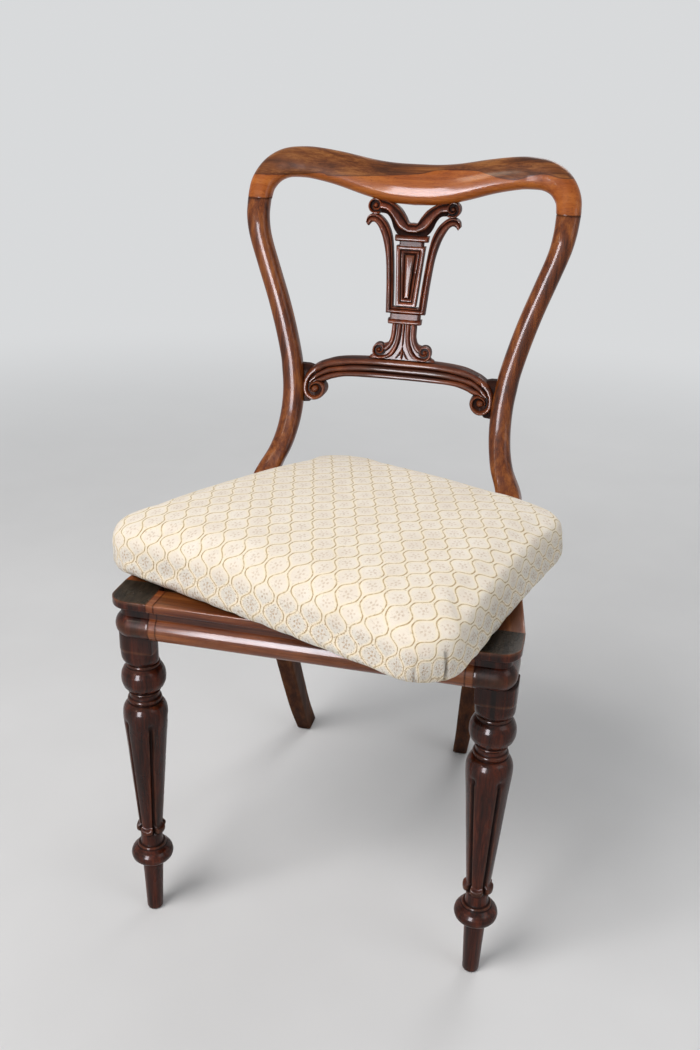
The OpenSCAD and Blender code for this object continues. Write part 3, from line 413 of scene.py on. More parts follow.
class Effects:
    """The node groups that several finishes share, each built once."""

    half_cell = 0.0151
    cell_length = 0.0385
    wave_height = 0.4
    ring_radius = 0.12

    def __init__(self) -> None:
        """Builds every group."""
        self.grain = self.build_grain()
        self.age = self.build_painted_light_and_wear()
        self.threads = self.build_threads()
        self.trellis = self.build_trellis()

    def build_grain(self) -> bpy.types.NodeTree:
        """Timber: long streaks, fine lines between them and short dark pores, all drawn out along Z.

        Returns:
            The group, from a vector in metres to Tone, Pore and Height.
        """
        tree, net, ins, outs = new_group("timber_grain", ("Vector",), ("Tone", "Pore", "Height"))
        bend = net.drawn(ins["Vector"], (14, 14, 5), 2.0)
        shift = net.node("ShaderNodeVectorMath", operation="MULTIPLY_ADD")
        net.put(shift.inputs[0], bend)
        shift.inputs[1].default_value = (0.006, 0.006, 0.0)
        net.put(shift.inputs[2], ins["Vector"])
        bent = shift.outputs[0]
        broad = net.drawn(bent, (120, 120, 4), 3.0, 0.5)
        fine = net.drawn(bent, (620, 620, 16), 3.0, 0.6)
        cloud = net.drawn(bent, (26, 26, 9), 2.0)
        tone = net.times(broad, 0.55, net.times(fine, 0.3, net.times(cloud, 0.3)))
        net.put(outs["Tone"], net.between(tone, 0.36, 0.78))
        spots = net.drawn(bent, (1900, 1900, 90), 1.0)
        pore = net.between(spots, 0.62, 0.72)
        net.put(outs["Pore"], pore)
        net.put(outs["Height"], net.times(pore, -0.6, net.times(fine, 0.4)))
        return tree

    def build_painted_light_and_wear(self) -> bpy.types.NodeTree:
        """Painted shade in hollows and joints; edges lightened as worn polish and painted highlight.

        Returns:
            The group, from a colour, a painted shade mark, a worn and highlight mark and a vector to a
            colour.
        """
        tree, net, ins, outs = new_group("polish_with_painted_light_and_wear", ("Color", "Hollow", "Wear", "Vector"), ("Color",))
        patch = net.noise(ins["Vector"], 70.0, 3.0)
        # Painted shade: hollows and joints are mixed towards near black.
        dark = net.mix(net.times(ins["Hollow"], 0.86), ins["Color"], srgb(16, 6, 3))
        worn = net.times(ins["Wear"], net.between(patch, 0.3, 0.7, 0.35, 1.0))
        # Edges are screened towards pale brown: partly worn polish, partly painted highlight.
        pale = net.mix(1.0, ins["Color"], srgb(190, 130, 90), "SCREEN")
        net.put(outs["Color"], net.mix(net.times(worn, 0.2), dark, pale))
        return tree

    def build_threads(self) -> bpy.types.NodeTree:
        """Plain weave: two sets of rounded threads that cross over and under, as products of sines.

        Returns:
            The group, from a vector in metres and threads per metre to Height and Shade.
        """
        tree, net, ins, outs = new_group("plain_weave", ("Vector", "Count"), ("Height", "Shade"))
        parts = net.node("ShaderNodeSeparateXYZ")
        net.put(parts.inputs[0], ins["Vector"])
        turn = net.times(ins["Count"], math.pi)
        u = net.math("SINE", net.times(parts.outputs[0], turn))
        v = net.math("SINE", net.times(parts.outputs[1], turn))
        cross = net.times(u, v)
        rise = net.math("ABSOLUTE", cross)
        net.put(outs["Height"], net.math("POWER", rise, 0.5))
        net.put(outs["Shade"], net.between(cross, -0.6, 0.6))
        return tree

    def build_trellis(self) -> bpy.types.NodeTree:
        """Ogee trellis: neighbouring lines wave against each other without touching, a sprig in every cell.

        Line n runs at p = n plus or minus 0.4 times (cos q less 0.08 times cos 3q), where p counts half
        cells across and q is one turn for each cell along. A sprig is a ring of dots about a cell's middle.

        Returns:
            The group, from a vector in metres to Line, Inside, Sprig and Neck, where two lines draw near.
        """
        tree, net, ins, outs = new_group("ogee_trellis", ("Vector",), ("Line", "Inside", "Sprig", "Neck"))
        parts = net.node("ShaderNodeSeparateXYZ")
        net.put(parts.inputs[0], ins["Vector"])
        p = net.math("DIVIDE", parts.outputs[0], self.half_cell)
        q = net.math("DIVIDE", parts.outputs[1], self.cell_length)
        turn = net.times(q, 2 * math.pi)
        wave = net.times(net.math("COSINE", net.times(turn, 3.0)), -0.08, net.math("COSINE", turn))
        near = []
        for way, start in ((-self.wave_height, 0.0), (self.wave_height, 1.0)):
            place = net.less(net.times(wave, way, p), start)
            near.append(net.math("ABSOLUTE", net.wrapped(net.times(place, 0.5))))
        least = net.math("MINIMUM", near[0], near[1])
        steep = net.math("ABSOLUTE", net.math("SINE", turn))
        width = net.times(steep, 0.013, 0.021)
        net.put(outs["Line"], net.between(net.math("DIVIDE", least, width), 0.5, 1.5, 1.0, 0.0))
        net.put(outs["Inside"], net.between(net.math("DIVIDE", least, width), 1.5, 5.5))
        net.put(outs["Neck"], net.between(net.math("ADD", near[0], near[1]), 0.13, 0.24, 1.0, 0.0))
        marks = []
        for du, dv in ((0.5, 0.5), (1.5, 0.0)):
            a = net.wrapped(net.times(net.less(p, du), 0.5))
            b = net.wrapped(net.less(q, dv))
            away = net.math("SQRT", net.times(a, a, net.times(b, b)))
            around = net.math("ARCTAN2", b, a)
            dots = net.math("SINE", net.times(around, 5.0))
            ring = net.between(net.math("ABSOLUTE", net.less(away, self.ring_radius)), 0.02, 0.06, 1.0, 0.0)
            eye = net.between(away, 0.02, 0.06, 1.0, 0.0)
            marks.append(net.math("MAXIMUM", net.times(ring, net.between(dots, 0.0, 0.6)), eye))
        net.put(outs["Sprig"], net.math("MAXIMUM", marks[0], marks[1]))
        return tree


class Grain(Enum):
    """Which way a timber's grain runs, as the turn that lays it along Z."""

    UPRIGHT = (0.0, 0.0, 0.0)
    ACROSS = (0.0, math.pi / 2, 0.0)
    BACKWARDS = (math.pi / 2, 0.0, 0.0)


@dataclass(frozen=True)
class Timber:
    """A polished timber: its tones from dark to light, its grain and its gloss."""

    name: str
    dark: tuple
    middle: tuple
    light: tuple
    grain: Grain = Grain.UPRIGHT
    turn: float = 0.0
    roughness: float = 0.34
    coat: float = 0.55
    pores: float = 0.5
    sapwood: bool = False
    bordered: bool = False
    capped: bool = False

    def material(self, effects: Effects) -> bpy.types.Material:
        """Builds the finish: grain tones, pores, painted shade and highlight, worn edges and a clear coat.

        Args:
            effects: The shared node groups.

        Returns:
            The material.
        """
        made, net, shader = new_material(self.name)
        place = net.node("ShaderNodeTexCoord").outputs["Object"]
        straight = net.mapping(place, turn=(0, 0, self.turn))
        laid = net.mapping(straight, turn=self.grain.value)
        grain = net.group(effects.grain, Vector=laid)
        tone = grain.outputs["Tone"]
        colour = net.ramp(tone, [(0.0, self.dark), (0.5, self.middle), (1.0, self.light)])
        if self.sapwood:
            colour = self.parted(net, laid, tone, colour)
        if self.bordered:
            warm = net.ramp(tone, [(0.0, srgb(66, 32, 12)), (0.6, srgb(96, 50, 20)),
                                   (1.0, srgb(122, 70, 32))])
            colour = net.mix(net.mark("bare"), colour, warm)
        if self.capped:
            rings = net.drawn(place, (300, 60, 60), 3.0)
            ends = net.ramp(rings, [(0.3, srgb(20, 16, 12)), (0.7, srgb(52, 42, 32))])
            colour = net.mix(net.mark("endgrain"), colour, ends)
        pore = net.times(grain.outputs["Pore"], self.pores)
        colour = net.mix(pore, colour, net.mix(1.0, colour, srgb(70, 40, 30), "MULTIPLY"))
        # The polish group paints shade into hollows and joints, and lightens edges as worn polish and
        # painted highlight.
        lit_shaded_and_worn = net.group(effects.age, Color=colour, Hollow=net.mark("hollow"), Wear=net.mark("wear"),
                         Vector=place)
        net.put(shader.inputs["Base Color"], lit_shaded_and_worn.outputs["Color"])
        smear = net.drawn(laid, (30, 30, 12), 3.0)
        dull = net.between(smear, 0.3, 0.75, self.roughness * 0.8, self.roughness * 1.35)
        net.put(shader.inputs["Roughness"], net.times(net.mark("hollow"), 0.35, dull))
        dry = net.times(net.mark("hollow"), 0.92)
        if self.bordered:
            dry = net.times(net.mark("bare"), 0.6, dry)
        if self.capped:
            dry = net.times(net.mark("endgrain"), 0.8, dry)
        shown = net.between(dry, 0.0, 1.0, 1.0, 0.0)
        polish = net.between(smear, 0.2, 0.9, self.coat, self.coat * 0.6)
        net.put(shader.inputs["Coat Weight"], net.times(polish, shown))
        shader.inputs["Coat Roughness"].default_value = 0.12
        shader.inputs["Specular IOR Level"].default_value = 0.08
        net.bump(shader, grain.outputs["Height"], 0.22, 0.0004)
        return made

    def parted(self, net: Net, laid: object, tone: object, heart: object) -> object:
        """Orange sapwood below the line that is marked on the crest rail, with a thin dark edge.

        Args:
            net: The material's net.
            laid: Coordinates with the grain along Z.
            tone: The grain's tone.
            heart: The heartwood's colour.

        Returns:
            The colour of both woods.
        """
        sap = net.ramp(tone, [(0.0, srgb(122, 56, 14)), (0.45, srgb(154, 80, 25)),
                              (1.0, srgb(176, 102, 40))])
        fleck = net.between(net.drawn(laid, (900, 900, 160), 2.0), 0.58, 0.72)
        sap = net.mix(net.times(fleck, 0.5), sap, srgb(108, 50, 16))
        wobble = net.times(net.drawn(laid, (60, 60, 22), 3.0), 1.6, -0.8)
        height = net.math("ADD", net.mark("line"), wobble)
        both = net.mix(net.between(height, -0.7, 0.9), sap, heart)
        edge = net.between(net.math("ABSOLUTE", net.less(height, 0.6)), 0.0, 1.3, 0.6, 0.0)
        return net.mix(edge, both, srgb(58, 26, 12))


RAILS = dict(dark=srgb(52, 21, 10), middle=srgb(98, 46, 21), light=srgb(142, 78, 36))


class Finish(Enum):
    """Every timber on the chair."""

    UPRIGHT = Timber("upright_rosewood", srgb(50, 21, 9), srgb(106, 52, 20), srgb(146, 84, 36), coat=0.5)
    CREST = Timber("crest_rosewood", srgb(58, 28, 10), srgb(110, 60, 24), srgb(154, 98, 48), Grain.ACROSS,
                   sapwood=True, coat=0.55)
    CARVED = Timber("carved_rosewood", srgb(38, 14, 8), srgb(88, 36, 19), srgb(128, 60, 32), coat=0.5)
    CROSS = Timber("reeded_rosewood", srgb(38, 15, 8), srgb(86, 38, 19), srgb(126, 64, 32), Grain.ACROSS,
                   coat=0.5)
    LEG = Timber("turned_rosewood", srgb(20, 6, 3), srgb(54, 19, 8), srgb(90, 36, 16), coat=0.36,
                 roughness=0.3, capped=True)
    FRONT = Timber("front_rail_rosewood", **RAILS, grain=Grain.ACROSS, bordered=True, coat=0.6)
    LEFT = Timber("left_rail_rosewood", **RAILS, grain=Grain.BACKWARDS, turn=math.radians(7.31),
                  bordered=True, coat=0.5)
    RIGHT = Timber("right_rail_rosewood", **RAILS, grain=Grain.BACKWARDS, turn=math.radians(-7.31),
                   bordered=True, coat=0.5)
    STRIP = Timber("rail_end_sapwood", srgb(72, 30, 13), srgb(108, 51, 22), srgb(138, 76, 36),
                   Grain.ACROSS, coat=0.5)
    BACK = Timber("back_rail_beech", srgb(70, 36, 18), srgb(112, 66, 36), srgb(146, 96, 58), Grain.ACROSS,
                  coat=0.2, roughness=0.5)
    BEECH = Timber("inner_beech", srgb(150, 104, 64), srgb(190, 146, 98), srgb(214, 178, 130),
                   Grain.ACROSS, coat=0.0, roughness=0.6)


# Pieces

def mark_points(mesh: bpy.types.Mesh, name: str, values: Array) -> None:
    """Marks a mesh's points with a number or a vector each."""
    kind, key = ("FLOAT", "value") if values.ndim == 1 else ("FLOAT_VECTOR", "vector")
    mesh.attributes.new(name, kind, "POINT").data.foreach_set(key, values.astype(np.float32).ravel())


class Workshop:
    """Turns surfaces into dressed pieces and keeps the finishes."""

    def __init__(self) -> None:
        """Starts with the shared effects and no finishes."""
        self.effects = Effects()
        self.made: dict[str, bpy.types.Material] = {}

    def finish(self, kind: Enum) -> bpy.types.Material:
        """The material of a timber, cloth or metal, built the first time it is asked for."""
        if kind.name not in self.made:
            self.made[kind.name] = kind.value.material(self.effects)
        return self.made[kind.name]

    def frame_piece(self, name: str, skin: Skin, kind: Enum, node: str,
                    sharp: float = 34.0) -> None:
        """A piece of the wooden frame, moved from the front rail's face to the chair's origin."""
        skin.points = skin.points - np.array([0.0, SeatFramePlan.origin, 0.0])
        self.piece(name, skin, kind, FRAME_BODY, node, sharp)

    def pair(self, ending: str, right: Skin, kinds: tuple, node: str,
             sharp: float = 34.0) -> None:
        """A left and a right piece of the frame, mirrored, whose names and nodes begin with the side."""
        for side, skin, kind in (("left", right.mirrored(), kinds[0]), ("right", right, kinds[-1])):
            self.frame_piece(side + ending, skin, kind, side + node, sharp)

    def piece(self, name: str, skin: Skin, kind: Enum, body: str, node: str,
              sharp: float = 34.0) -> bpy.types.Object:
        """Puts a surface into a mesh, dresses it and joins it to the frame.

        Args:
            name: The piece's name.
            skin: Its surface, in millimetres.
            kind: Its finish.
            body: The body that carries it.
            node: The CAD node that it stands for.
            sharp: Edges that bend more than this many degrees stay sharp.

        Returns:
            The piece's object.
        """
        mesh = bpy.data.meshes.new(name)
        corners = np.concatenate([f.reshape(-1) for f in skin.faces])
        counts = np.concatenate([np.full(len(f), f.shape[1]) for f in skin.faces])
        mesh.vertices.add(len(skin.points))
        mesh.vertices.foreach_set("co", (skin.points * MM).astype(np.float32).ravel())
        mesh.loops.add(len(corners))
        mesh.loops.foreach_set("vertex_index", corners.astype(np.int32))
        mesh.polygons.add(len(counts))
        starts = np.concatenate([[0], np.cumsum(counts)[:-1]])
        mesh.polygons.foreach_set("loop_start", starts.astype(np.int32))
        mesh.update(calc_edges=True)
        for key, value in skin.marks.items():
            mark_points(mesh, key, value)
        mesh.polygons.foreach_set("use_smooth", np.ones(len(counts), bool))
        mesh.set_sharp_from_angle(angle=math.radians(sharp))
        mesh.materials.append(self.finish(kind))
        made = bpy.data.objects.new(name, mesh)
        bpy.context.scene.collection.objects.link(made)
        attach(made, body)
        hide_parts(node)
        log.info("%s: %d points, %d faces", name, len(skin.points), len(counts))
        return made


@dataclass
class SeatFramePlan:
    """Sizes that the rails, legs and back share, in millimetres from the front rail's face."""

    seat_h: float = 439.0
    front_half: float = 221.0
    rail_h: float = 50.0
    rail_t: float = 36.0
    depth: float = 387.0
    taper: float = 43.0
    block_w: float = 45.5
    block_d: float = 52.0
    block_round: float = 22.0
    strip_w: float = 8.7
    leg_x: float = 197.57
    leg_y: float = 36.9
    back_x: float = 168.0
    back_y: float = 404.0
    shoulder_h: float = 806.0
    shoulder_half: float = 204.0
    shoulder_reach: float = 491.0
    origin: float = 231.7

    def moulding(self, inner: float) -> Array:
        """The rail's section, from the top's inner edge over the face to the foot's inner edge.

        Flat top, a band with a rounded lower edge, a flat set back behind it and a half round below.

        Args:
            inner: Distance from the face to the section's inner side.

        Returns:
            Rows of distance behind the face and height.
        """
        def arc(x: float, z: float, r: float, start: float, end: float, n: int) -> Array:
            """Points of an arc between two angles in degrees."""
            return circle(x, z, r, np.radians(np.linspace(start, end, n)))

        rows = [
            np.column_stack([np.linspace(inner, 8.0, 6), np.zeros(6)]),
            [[5.0, 0.0], [2.5, 0.0]],
            arc(1.0, -1.0, 1.0, 90, 180, 5),
            [[0.0, -4.0]],
            arc(3.0, -7.5, 3.0, 180, 270, 7),
            [[6.0, -10.5]],
            arc(9.5, -11.5, 1.0, 90, 180, 3),
            [[8.5, -15.0], [8.5, -19.5]],
            arc(18.0, -34.0, 16.0, 126.4, 270, 26),
            np.column_stack([np.linspace(19.0, inner, 5), np.full(5, -50.0)]),
        ]
        return np.concatenate([np.asarray(r, float) for r in rows])

    def face_marks(self, section: Array) -> tuple[Array, Array, Array]:
        """Marks for a rail's section: bare top, painted shade in the set-back, and worn edges with a
        painted highlight.

        Args:
            section: Rows of distance behind the face and height.

        Returns:
            The three marks.
        """
        behind, height = section[:, 0], section[:, 1]
        top = height > -0.01
        bare = np.where(top, ease(behind, 4.5, 6.0), 0.0)
        deep = (height < -10.4) & (height > -20.5) & (behind > 3)
        # Painted shade in the set-back: darkest just under the band and just above the half round.
        shade = 0.06 + 0.6 * ease(height, -13.0, -10.6) + 0.35 * ease(-height, 18.0, 20.0)
        corner = np.exp(-((behind - 0.4) ** 2 + (height + 0.6) ** 2) / 2.0)
        # The top's front arris is worn; the half round's front carries a painted highlight.
        belly = np.exp(-((behind - 2.0) ** 2) / 3.0) * (height < -22)
        return bare, np.where(deep, shade, 0.0), np.clip(corner + 0.5 * belly, 0, 1)


@dataclass
class RailSet:
    """Front rail, side rails and the short strips beside the leg blocks."""

    plan: SeatFramePlan
    edge: float = 0.35
    stations: int = 9
    heart: tuple = (25.0, -9.0)

    def straight(self, x0: float, x1: float) -> Skin:
        """Moulding carried along X at the front, its ends fanned from a point well inside the section.

        Args:
            x0: Where it starts.
            x1: Where it ends.

        Returns:
            The rail's surface.
        """
        section = self.plan.moulding(self.plan.rail_t)
        x = np.concatenate([[x0, x0 + 0.7], np.linspace(x0 + 1.5, x1 - 1.5, self.stations), [x1 - 0.7, x1]])
        rings = ringed(x[:, None], section[None, :, 0], self.plan.seat_h + section[None, :, 1])
        bare, hollow, wear = self.plan.face_marks(section)
        soft = softened(rings, self.edge)
        near = np.minimum(soft[:, :1, 0] - x0, x1 - soft[:, :1, 0])
        # Painted shade in the set-back, and dark joint lines at both ends, where the rail meets its
        # neighbours.
        dirt_and_shade = np.maximum(hollow[None, :], 0.85 * (1 - ease(near, 0.3, 1.1)))
        made = tube(soft, bare=bare, hollow=dirt_and_shade, wear=wear)
        behind, height = self.heart
        made.points[-2:] = [[end, behind, self.plan.seat_h + height] for end in (x0, x1)]
        return made

    def side(self) -> Skin:
        """Moulding carried back along the right side, cut level with the chair's width at both ends.

        At a distance y back, a point d behind the face lies at x = front half width
        less the taper gone so far, less d over the cosine of the side's angle.

        Returns:
            The right rail's surface.
        """
        p = self.plan
        section = p.moulding(p.rail_t)
        length = p.depth - p.block_d
        slope = p.taper / length
        y = np.linspace(p.block_d, p.depth, self.stations)
        face = p.front_half - (y - p.block_d) * slope
        behind = section[None, :, 0] * math.hypot(1, slope)
        rings = ringed(face[:, None] - behind, y[:, None], p.seat_h + section[None, :, 1])
        bare, hollow, wear = p.face_marks(section)
        made = tube(softened(rings, self.edge), bare=bare, hollow=hollow, wear=wear)
        behind, height = self.heart
        made.points[-2:, 0] = face[[0, -1]] - behind * math.hypot(1, slope)
        made.points[-2:, 2] = p.seat_h + height
        return made

    def build(self, shop: Workshop) -> None:
        """Builds and dresses the five pieces."""
        p = self.plan
        half = p.front_half - p.block_w - p.strip_w
        ending = self.straight(half, half + p.strip_w)
        shop.frame_piece("front_rail_dressed", self.straight(-half, half), Finish.FRONT,
                         "front_rail")
        shop.pair("_end_strip", ending, (Finish.STRIP,), "_rail_end_strip")
        shop.pair("_rail_dressed", self.side(), (Finish.LEFT, Finish.RIGHT), "_side_rail")


@dataclass
class BackLeg:
    """Back leg and upright in one piece, worked out as level sections."""

    plan: SeatFramePlan
    foot_half: float = 124.4
    rake: float = 77.0
    foot_width: float = 33.0
    foot_thickness: float = 34.0
    width: float = 29.0
    thickness: float = 28.0
    around: int = 96
    levels: int = 440

    lower = [
        (0, 1, 1, 0.65, 1.06, 9), (0.12, 0.885, 0.70, 0.69, 1.07, 9), (0.25, 0.79, 0.43, 0.73, 1.09, 9),
        (0.38, 0.70, 0.17, 0.75, 1.10, 9), (0.51, 0.585, -0.055, 0.78, 1.09, 9),
        (0.64, 0.44, -0.17, 0.82, 1.06, 10), (0.77, 0.28, -0.165, 0.87, 1.03, 11),
        (0.88, 0.13, -0.075, 0.93, 1.01, 12), (0.97, 0.02, -0.01, 0.99, 1, 12), (1, 0, 0, 1, 1, 12)]
    upper = [
        (0, 0, 0, 1.14, 1.21, 12), (0.025, -0.015, 0.03, 1.12, 1.16, 8),
        (0.057, -0.125, 0.12, 1.09, 1.09, 4.5), (0.112, -0.39, 0.23, 1.03, 1.03, 3),
        (0.166, -0.545, 0.355, 1, 1, 2.6), (0.22, -0.63, 0.465, 1, 1, 2.5),
        (0.275, -0.66, 0.555, 1, 1, 2.5), (0.33, -0.645, 0.62, 1, 1, 2.5),
        (0.385, -0.58, 0.665, 1, 1, 2.5), (0.44, -0.50, 0.695, 1, 1, 2.5),
        (0.547, -0.235, 0.735, 1, 1, 2.5), (0.656, 0.09, 0.76, 1, 1, 2.5),
        (0.765, 0.47, 0.785, 1, 1, 2.5), (0.874, 0.84, 0.825, 1, 1, 2.5),
        (0.94, 0.965, 0.88, 1.03, 1, 2.5), (1, 1, 1, 1.07, 1, 2.5)]

    def sections(self, z: Array) -> Array:
        """Middle, half sizes and squareness of the section at each height.

        Args:
            z: Heights.

        Returns:
            Rows of x, y, half width, half thickness and squareness.
        """
        p = self.plan
        low = p.seat_h - p.rail_h
        under = [(r[0] * low, p.back_x + r[1] * (self.foot_half - p.back_x), p.back_y + r[2] * self.rake,
                  r[3] * self.foot_width / 2, r[4] * self.foot_thickness / 2, r[5]) for r in self.lower]
        over = [(p.seat_h + r[0] * (p.shoulder_h - p.seat_h),
                 p.back_x + r[1] * (p.shoulder_half - p.back_x),
                 p.back_y + r[2] * (p.shoulder_reach - p.back_y), r[3] * self.width / 2,
                 r[4] * self.thickness / 2, r[5])
                for r in self.upper]
        return np.where((z < (low + p.seat_h) / 2)[:, None], through(under, z), through(over, z))

    def skin(self) -> Skin:
        """Squared circles stacked from the floor to the shoulder, with softened ends.

        Returns:
            The right leg's surface.
        """
        top = self.plan.shoulder_h
        more = [0.4, 1.0, 1.8, 388, 440, 804.9, 805.5]
        z = np.unique(np.concatenate([np.linspace(0, top, self.levels), more]))
        rows = self.sections(z)
        draw = 1.4 * (1 - ease(z, 0, 1.8)) + 0.55 * ease(z, top - 0.9, top)
        u, v = squared(full_turn(self.around)[None, :], rows[:, 4:5])
        out, deep = rows[:, 2:3] - draw[:, None], rows[:, 3:4] - draw[:, None]
        rings = ringed(rows[:, 0:1] + out * u, rows[:, 1:2] + deep * v, z[:, None])
        corner = np.clip(np.abs(u * v) * 2.2 - 0.9, 0, 1) * ease(-z, -388, -300)[:, None]
        # Painted shade, darkest below the seat rails under z 380 to 450; a dark joint line at the top under
        # the crest rail; a little darker towards the floor.
        dirt_and_shade = 0.8 * ease(z, 803.5, top) + 0.2 * (1 - ease(z, 0, 30)) + 0.85 * (1 - ease(z, 380, 450))
        return tube(rings, hollow=dirt_and_shade[:, None] + 0 * u, wear=corner * 0.5)

    def build(self, shop: Workshop) -> None:
        """Builds and dresses both legs."""
        shop.pair("_upright", self.skin(), (Finish.UPRIGHT,), "_back_leg")


@dataclass
class CrestRail:
    """The hooped top rail, swept from one shoulder over to the other."""

    plan: SeatFramePlan
    height: float = 49.0
    thickness: float = 27.6
    rise: float = 24.5
    sweep: float = 44.0
    around: int = 64
    stations: int = 110

    shares = [
        (0, 1, 0, 0, 0.32, 0.5, 2.5), (0.09, 0.985, 0.74, 0.20, 0.335, 0.49, 2.5),
        (0.18, 0.93, 1.40, 0.40, 0.36, 0.48, 2.5), (0.26, 0.845, 1.78, 0.52, 0.385, 0.48, 2.5),
        (0.34, 0.735, 1.86, 0.62, 0.405, 0.48, 2.5), (0.43, 0.637, 1.79, 0.70, 0.42, 0.48, 2.5),
        (0.55, 0.49, 1.56, 0.81, 0.445, 0.49, 2.5), (0.70, 0.294, 1.16, 0.93, 0.492, 0.5, 2.5),
        (0.85, 0.147, 0.965, 0.985, 0.525, 0.5, 2.4), (1, 0, 0.915, 1, 0.54, 0.5, 2.4)]
    sap_line = [
        (-215, 835.2), (-185, 835.2), (-162, 835.9), (-142, 837.7), (-127, 839.5), (-121, 838.7),
        (-116, 836.3), (-94, 836.4), (-61, 837.9), (-21, 840.7), (7, 843.4), (25, 847.8), (49, 850.0),
        (83, 850.7), (94, 848.3), (113, 844.3), (128, 843.2), (138, 844.6), (152, 849.5), (163, 851.8),
        (174, 851.7), (190, 848.7), (215, 849.5)]

    def path(self, k: Array) -> Array:
        """Middle line, half sizes and squareness from the shoulder, 0, to the middle, 1."""
        rows = [(r[0], r[1] * self.plan.shoulder_half, self.plan.shoulder_reach + r[3] * self.sweep,
                 self.plan.shoulder_h + r[2] * self.rise, r[4] * self.height, r[5] * self.thickness, r[6])
                for r in self.shares]
        return through(rows, k)

    def skin(self) -> Skin:
        """Squared circles set square to the path, leaning back from the shoulders to the middle.

        Returns:
            The whole rail's surface, marked with the height above the sapwood's line.
        """
        k = np.unique(np.concatenate([np.linspace(0, 1, self.stations), [0.004, 0.008, 0.014]]))
        rows = self.path(k)
        step = 0.01
        way = self.path(np.minimum(k + step, 1))[:, :3] - self.path(np.maximum(k - step, 0))[:, :3]
        way[k < step] = [0, 0, 1]
        way[k > 1 - step] = [-1, 0, 0]
        way /= np.linalg.norm(way, axis=1, keepdims=True)
        lean = np.radians(17 * np.minimum(1, k / 0.35))
        tilt = np.column_stack([np.zeros_like(k), np.cos(lean), -np.sin(lean)])
        first = np.cross(tilt, way)
        first /= np.linalg.norm(first, axis=1, keepdims=True)
        back = np.cross(way, first)
        back /= np.linalg.norm(back, axis=1, keepdims=True)
        up = np.cross(back, way)
        u, v = squared(full_turn(self.around)[None, :], rows[:, 5:6])
        draw = 0.55 * (1 - ease(k, 0, 0.008))[:, None]
        out = (rows[:, 3:4] - draw) * u
        deep = (rows[:, 4:5] - draw) * v
        half = rows[:, None, :3] + out[..., None] * up[:, None] + deep[..., None] * back[:, None]
        other = half[:-1][::-1] * np.array([-1.0, 1.0, 1.0])
        rings = np.concatenate([half, other])
        above = rings[..., 2] - through(self.sap_line, rings[..., 0].ravel()).reshape(rings.shape[:2])
        joint = 0.85 * (1 - ease(k, 0.0, 0.012))
        dirt_and_shade = np.concatenate([joint, joint[:-1][::-1]])[:, None]
        return tube(rings, line=above, hollow=dirt_and_shade, wear=0 * above)

    def build(self, shop: Workshop) -> None:
        """Builds and dresses the rail."""
        shop.frame_piece("crest_rail_dressed", self.skin(), Finish.CREST, "crest_rail")


@dataclass(frozen=True)
class LeaningPlane:
    """The leaning plane that the carved work stands on: y grows with z, and height w comes forwards."""

    y: float
    z: float
    slope: float
    bow: float = 0.0
    bow_x: float = 1.0
    face: float = 0.0

    def place(self, x: Array, z: Array, w: Array) -> Array:
        """Points in space: y = y0 less the bow + (z - z0) times the slope + face - w.

        Args:
            x: Distances from the chair's middle.
            z: Heights.
            w: Heights of relief above the back.

        Returns:
            The points, in one array.
        """
        bowed = self.bow * np.minimum(np.abs(x) / self.bow_x, 1.0) ** 2
        y = self.y - bowed + (z - self.z) * self.slope + self.face - w
        return np.stack([x, y, z], -1)


class Bead(Enum):
    """Sections of the carved strips: share across, share of the height, painted shade, and worn crowns with
    painted highlight.
    """

    ROUND = ((0, 0.62, .6, 0), (.04, .76, .35, 0), (.14, .9, .1, 0), (.3, .98, 0, .35), (.5, 1, 0, .8),
             (.7, .98, 0, .35), (.86, .9, .1, 0), (.96, .76, .35, 0), (1, .62, .6, 0))
    FLAT = ((0, 0.8, .5, 0), (.02, .93, .1, .3), (.06, 1, 0, .9), (.12, 1, 0, .4), (.5, 1, 0, .25),
            (.88, 1, 0, .4), (.94, 1, 0, .9), (.98, .93, .1, .3), (1, .8, .5, 0))
    BAND = ((0, .8, .4, 0), (.03, .9, .1, .5), (.07, .95, 0, .9), (.11, .92, .2, .2), (.15, .78, 1, 0),
            (.21, .75, 1, 0), (.27, .85, .5, 0), (.36, .94, .1, .1), (.48, .99, 0, .3), (.57, 1, 0, .7),
            (.63, .97, 0, .9), (.67, .88, .5, 0), (.73, .7, 1, 0), (.86, .56, 1, 0), (1, .5, 1, 0))
    STRAP = ((0, .7, .5, 0), (.03, .84, .2, 0), (.09, .95, 0, .4), (.17, .93, 0, .5), (.22, .84, .5, 0),
             (.27, .76, 1, 0), (.33, .8, .8, 0), (.42, .92, .2, 0), (.55, 1, 0, .6), (.7, .99, 0, .4),
             (.84, .9, .1, 0), (.94, .76, .3, 0), (1, .62, .5, 0))
    REED = ((0, .78, .9, 0), (.06, .87, .5, 0), (.16, .95, .1, 0), (.32, .995, 0, .3), (.5, 1, 0, .7),
            (.68, .995, 0, .3), (.84, .95, .1, 0), (.94, .87, .5, 0), (1, .78, .9, 0))


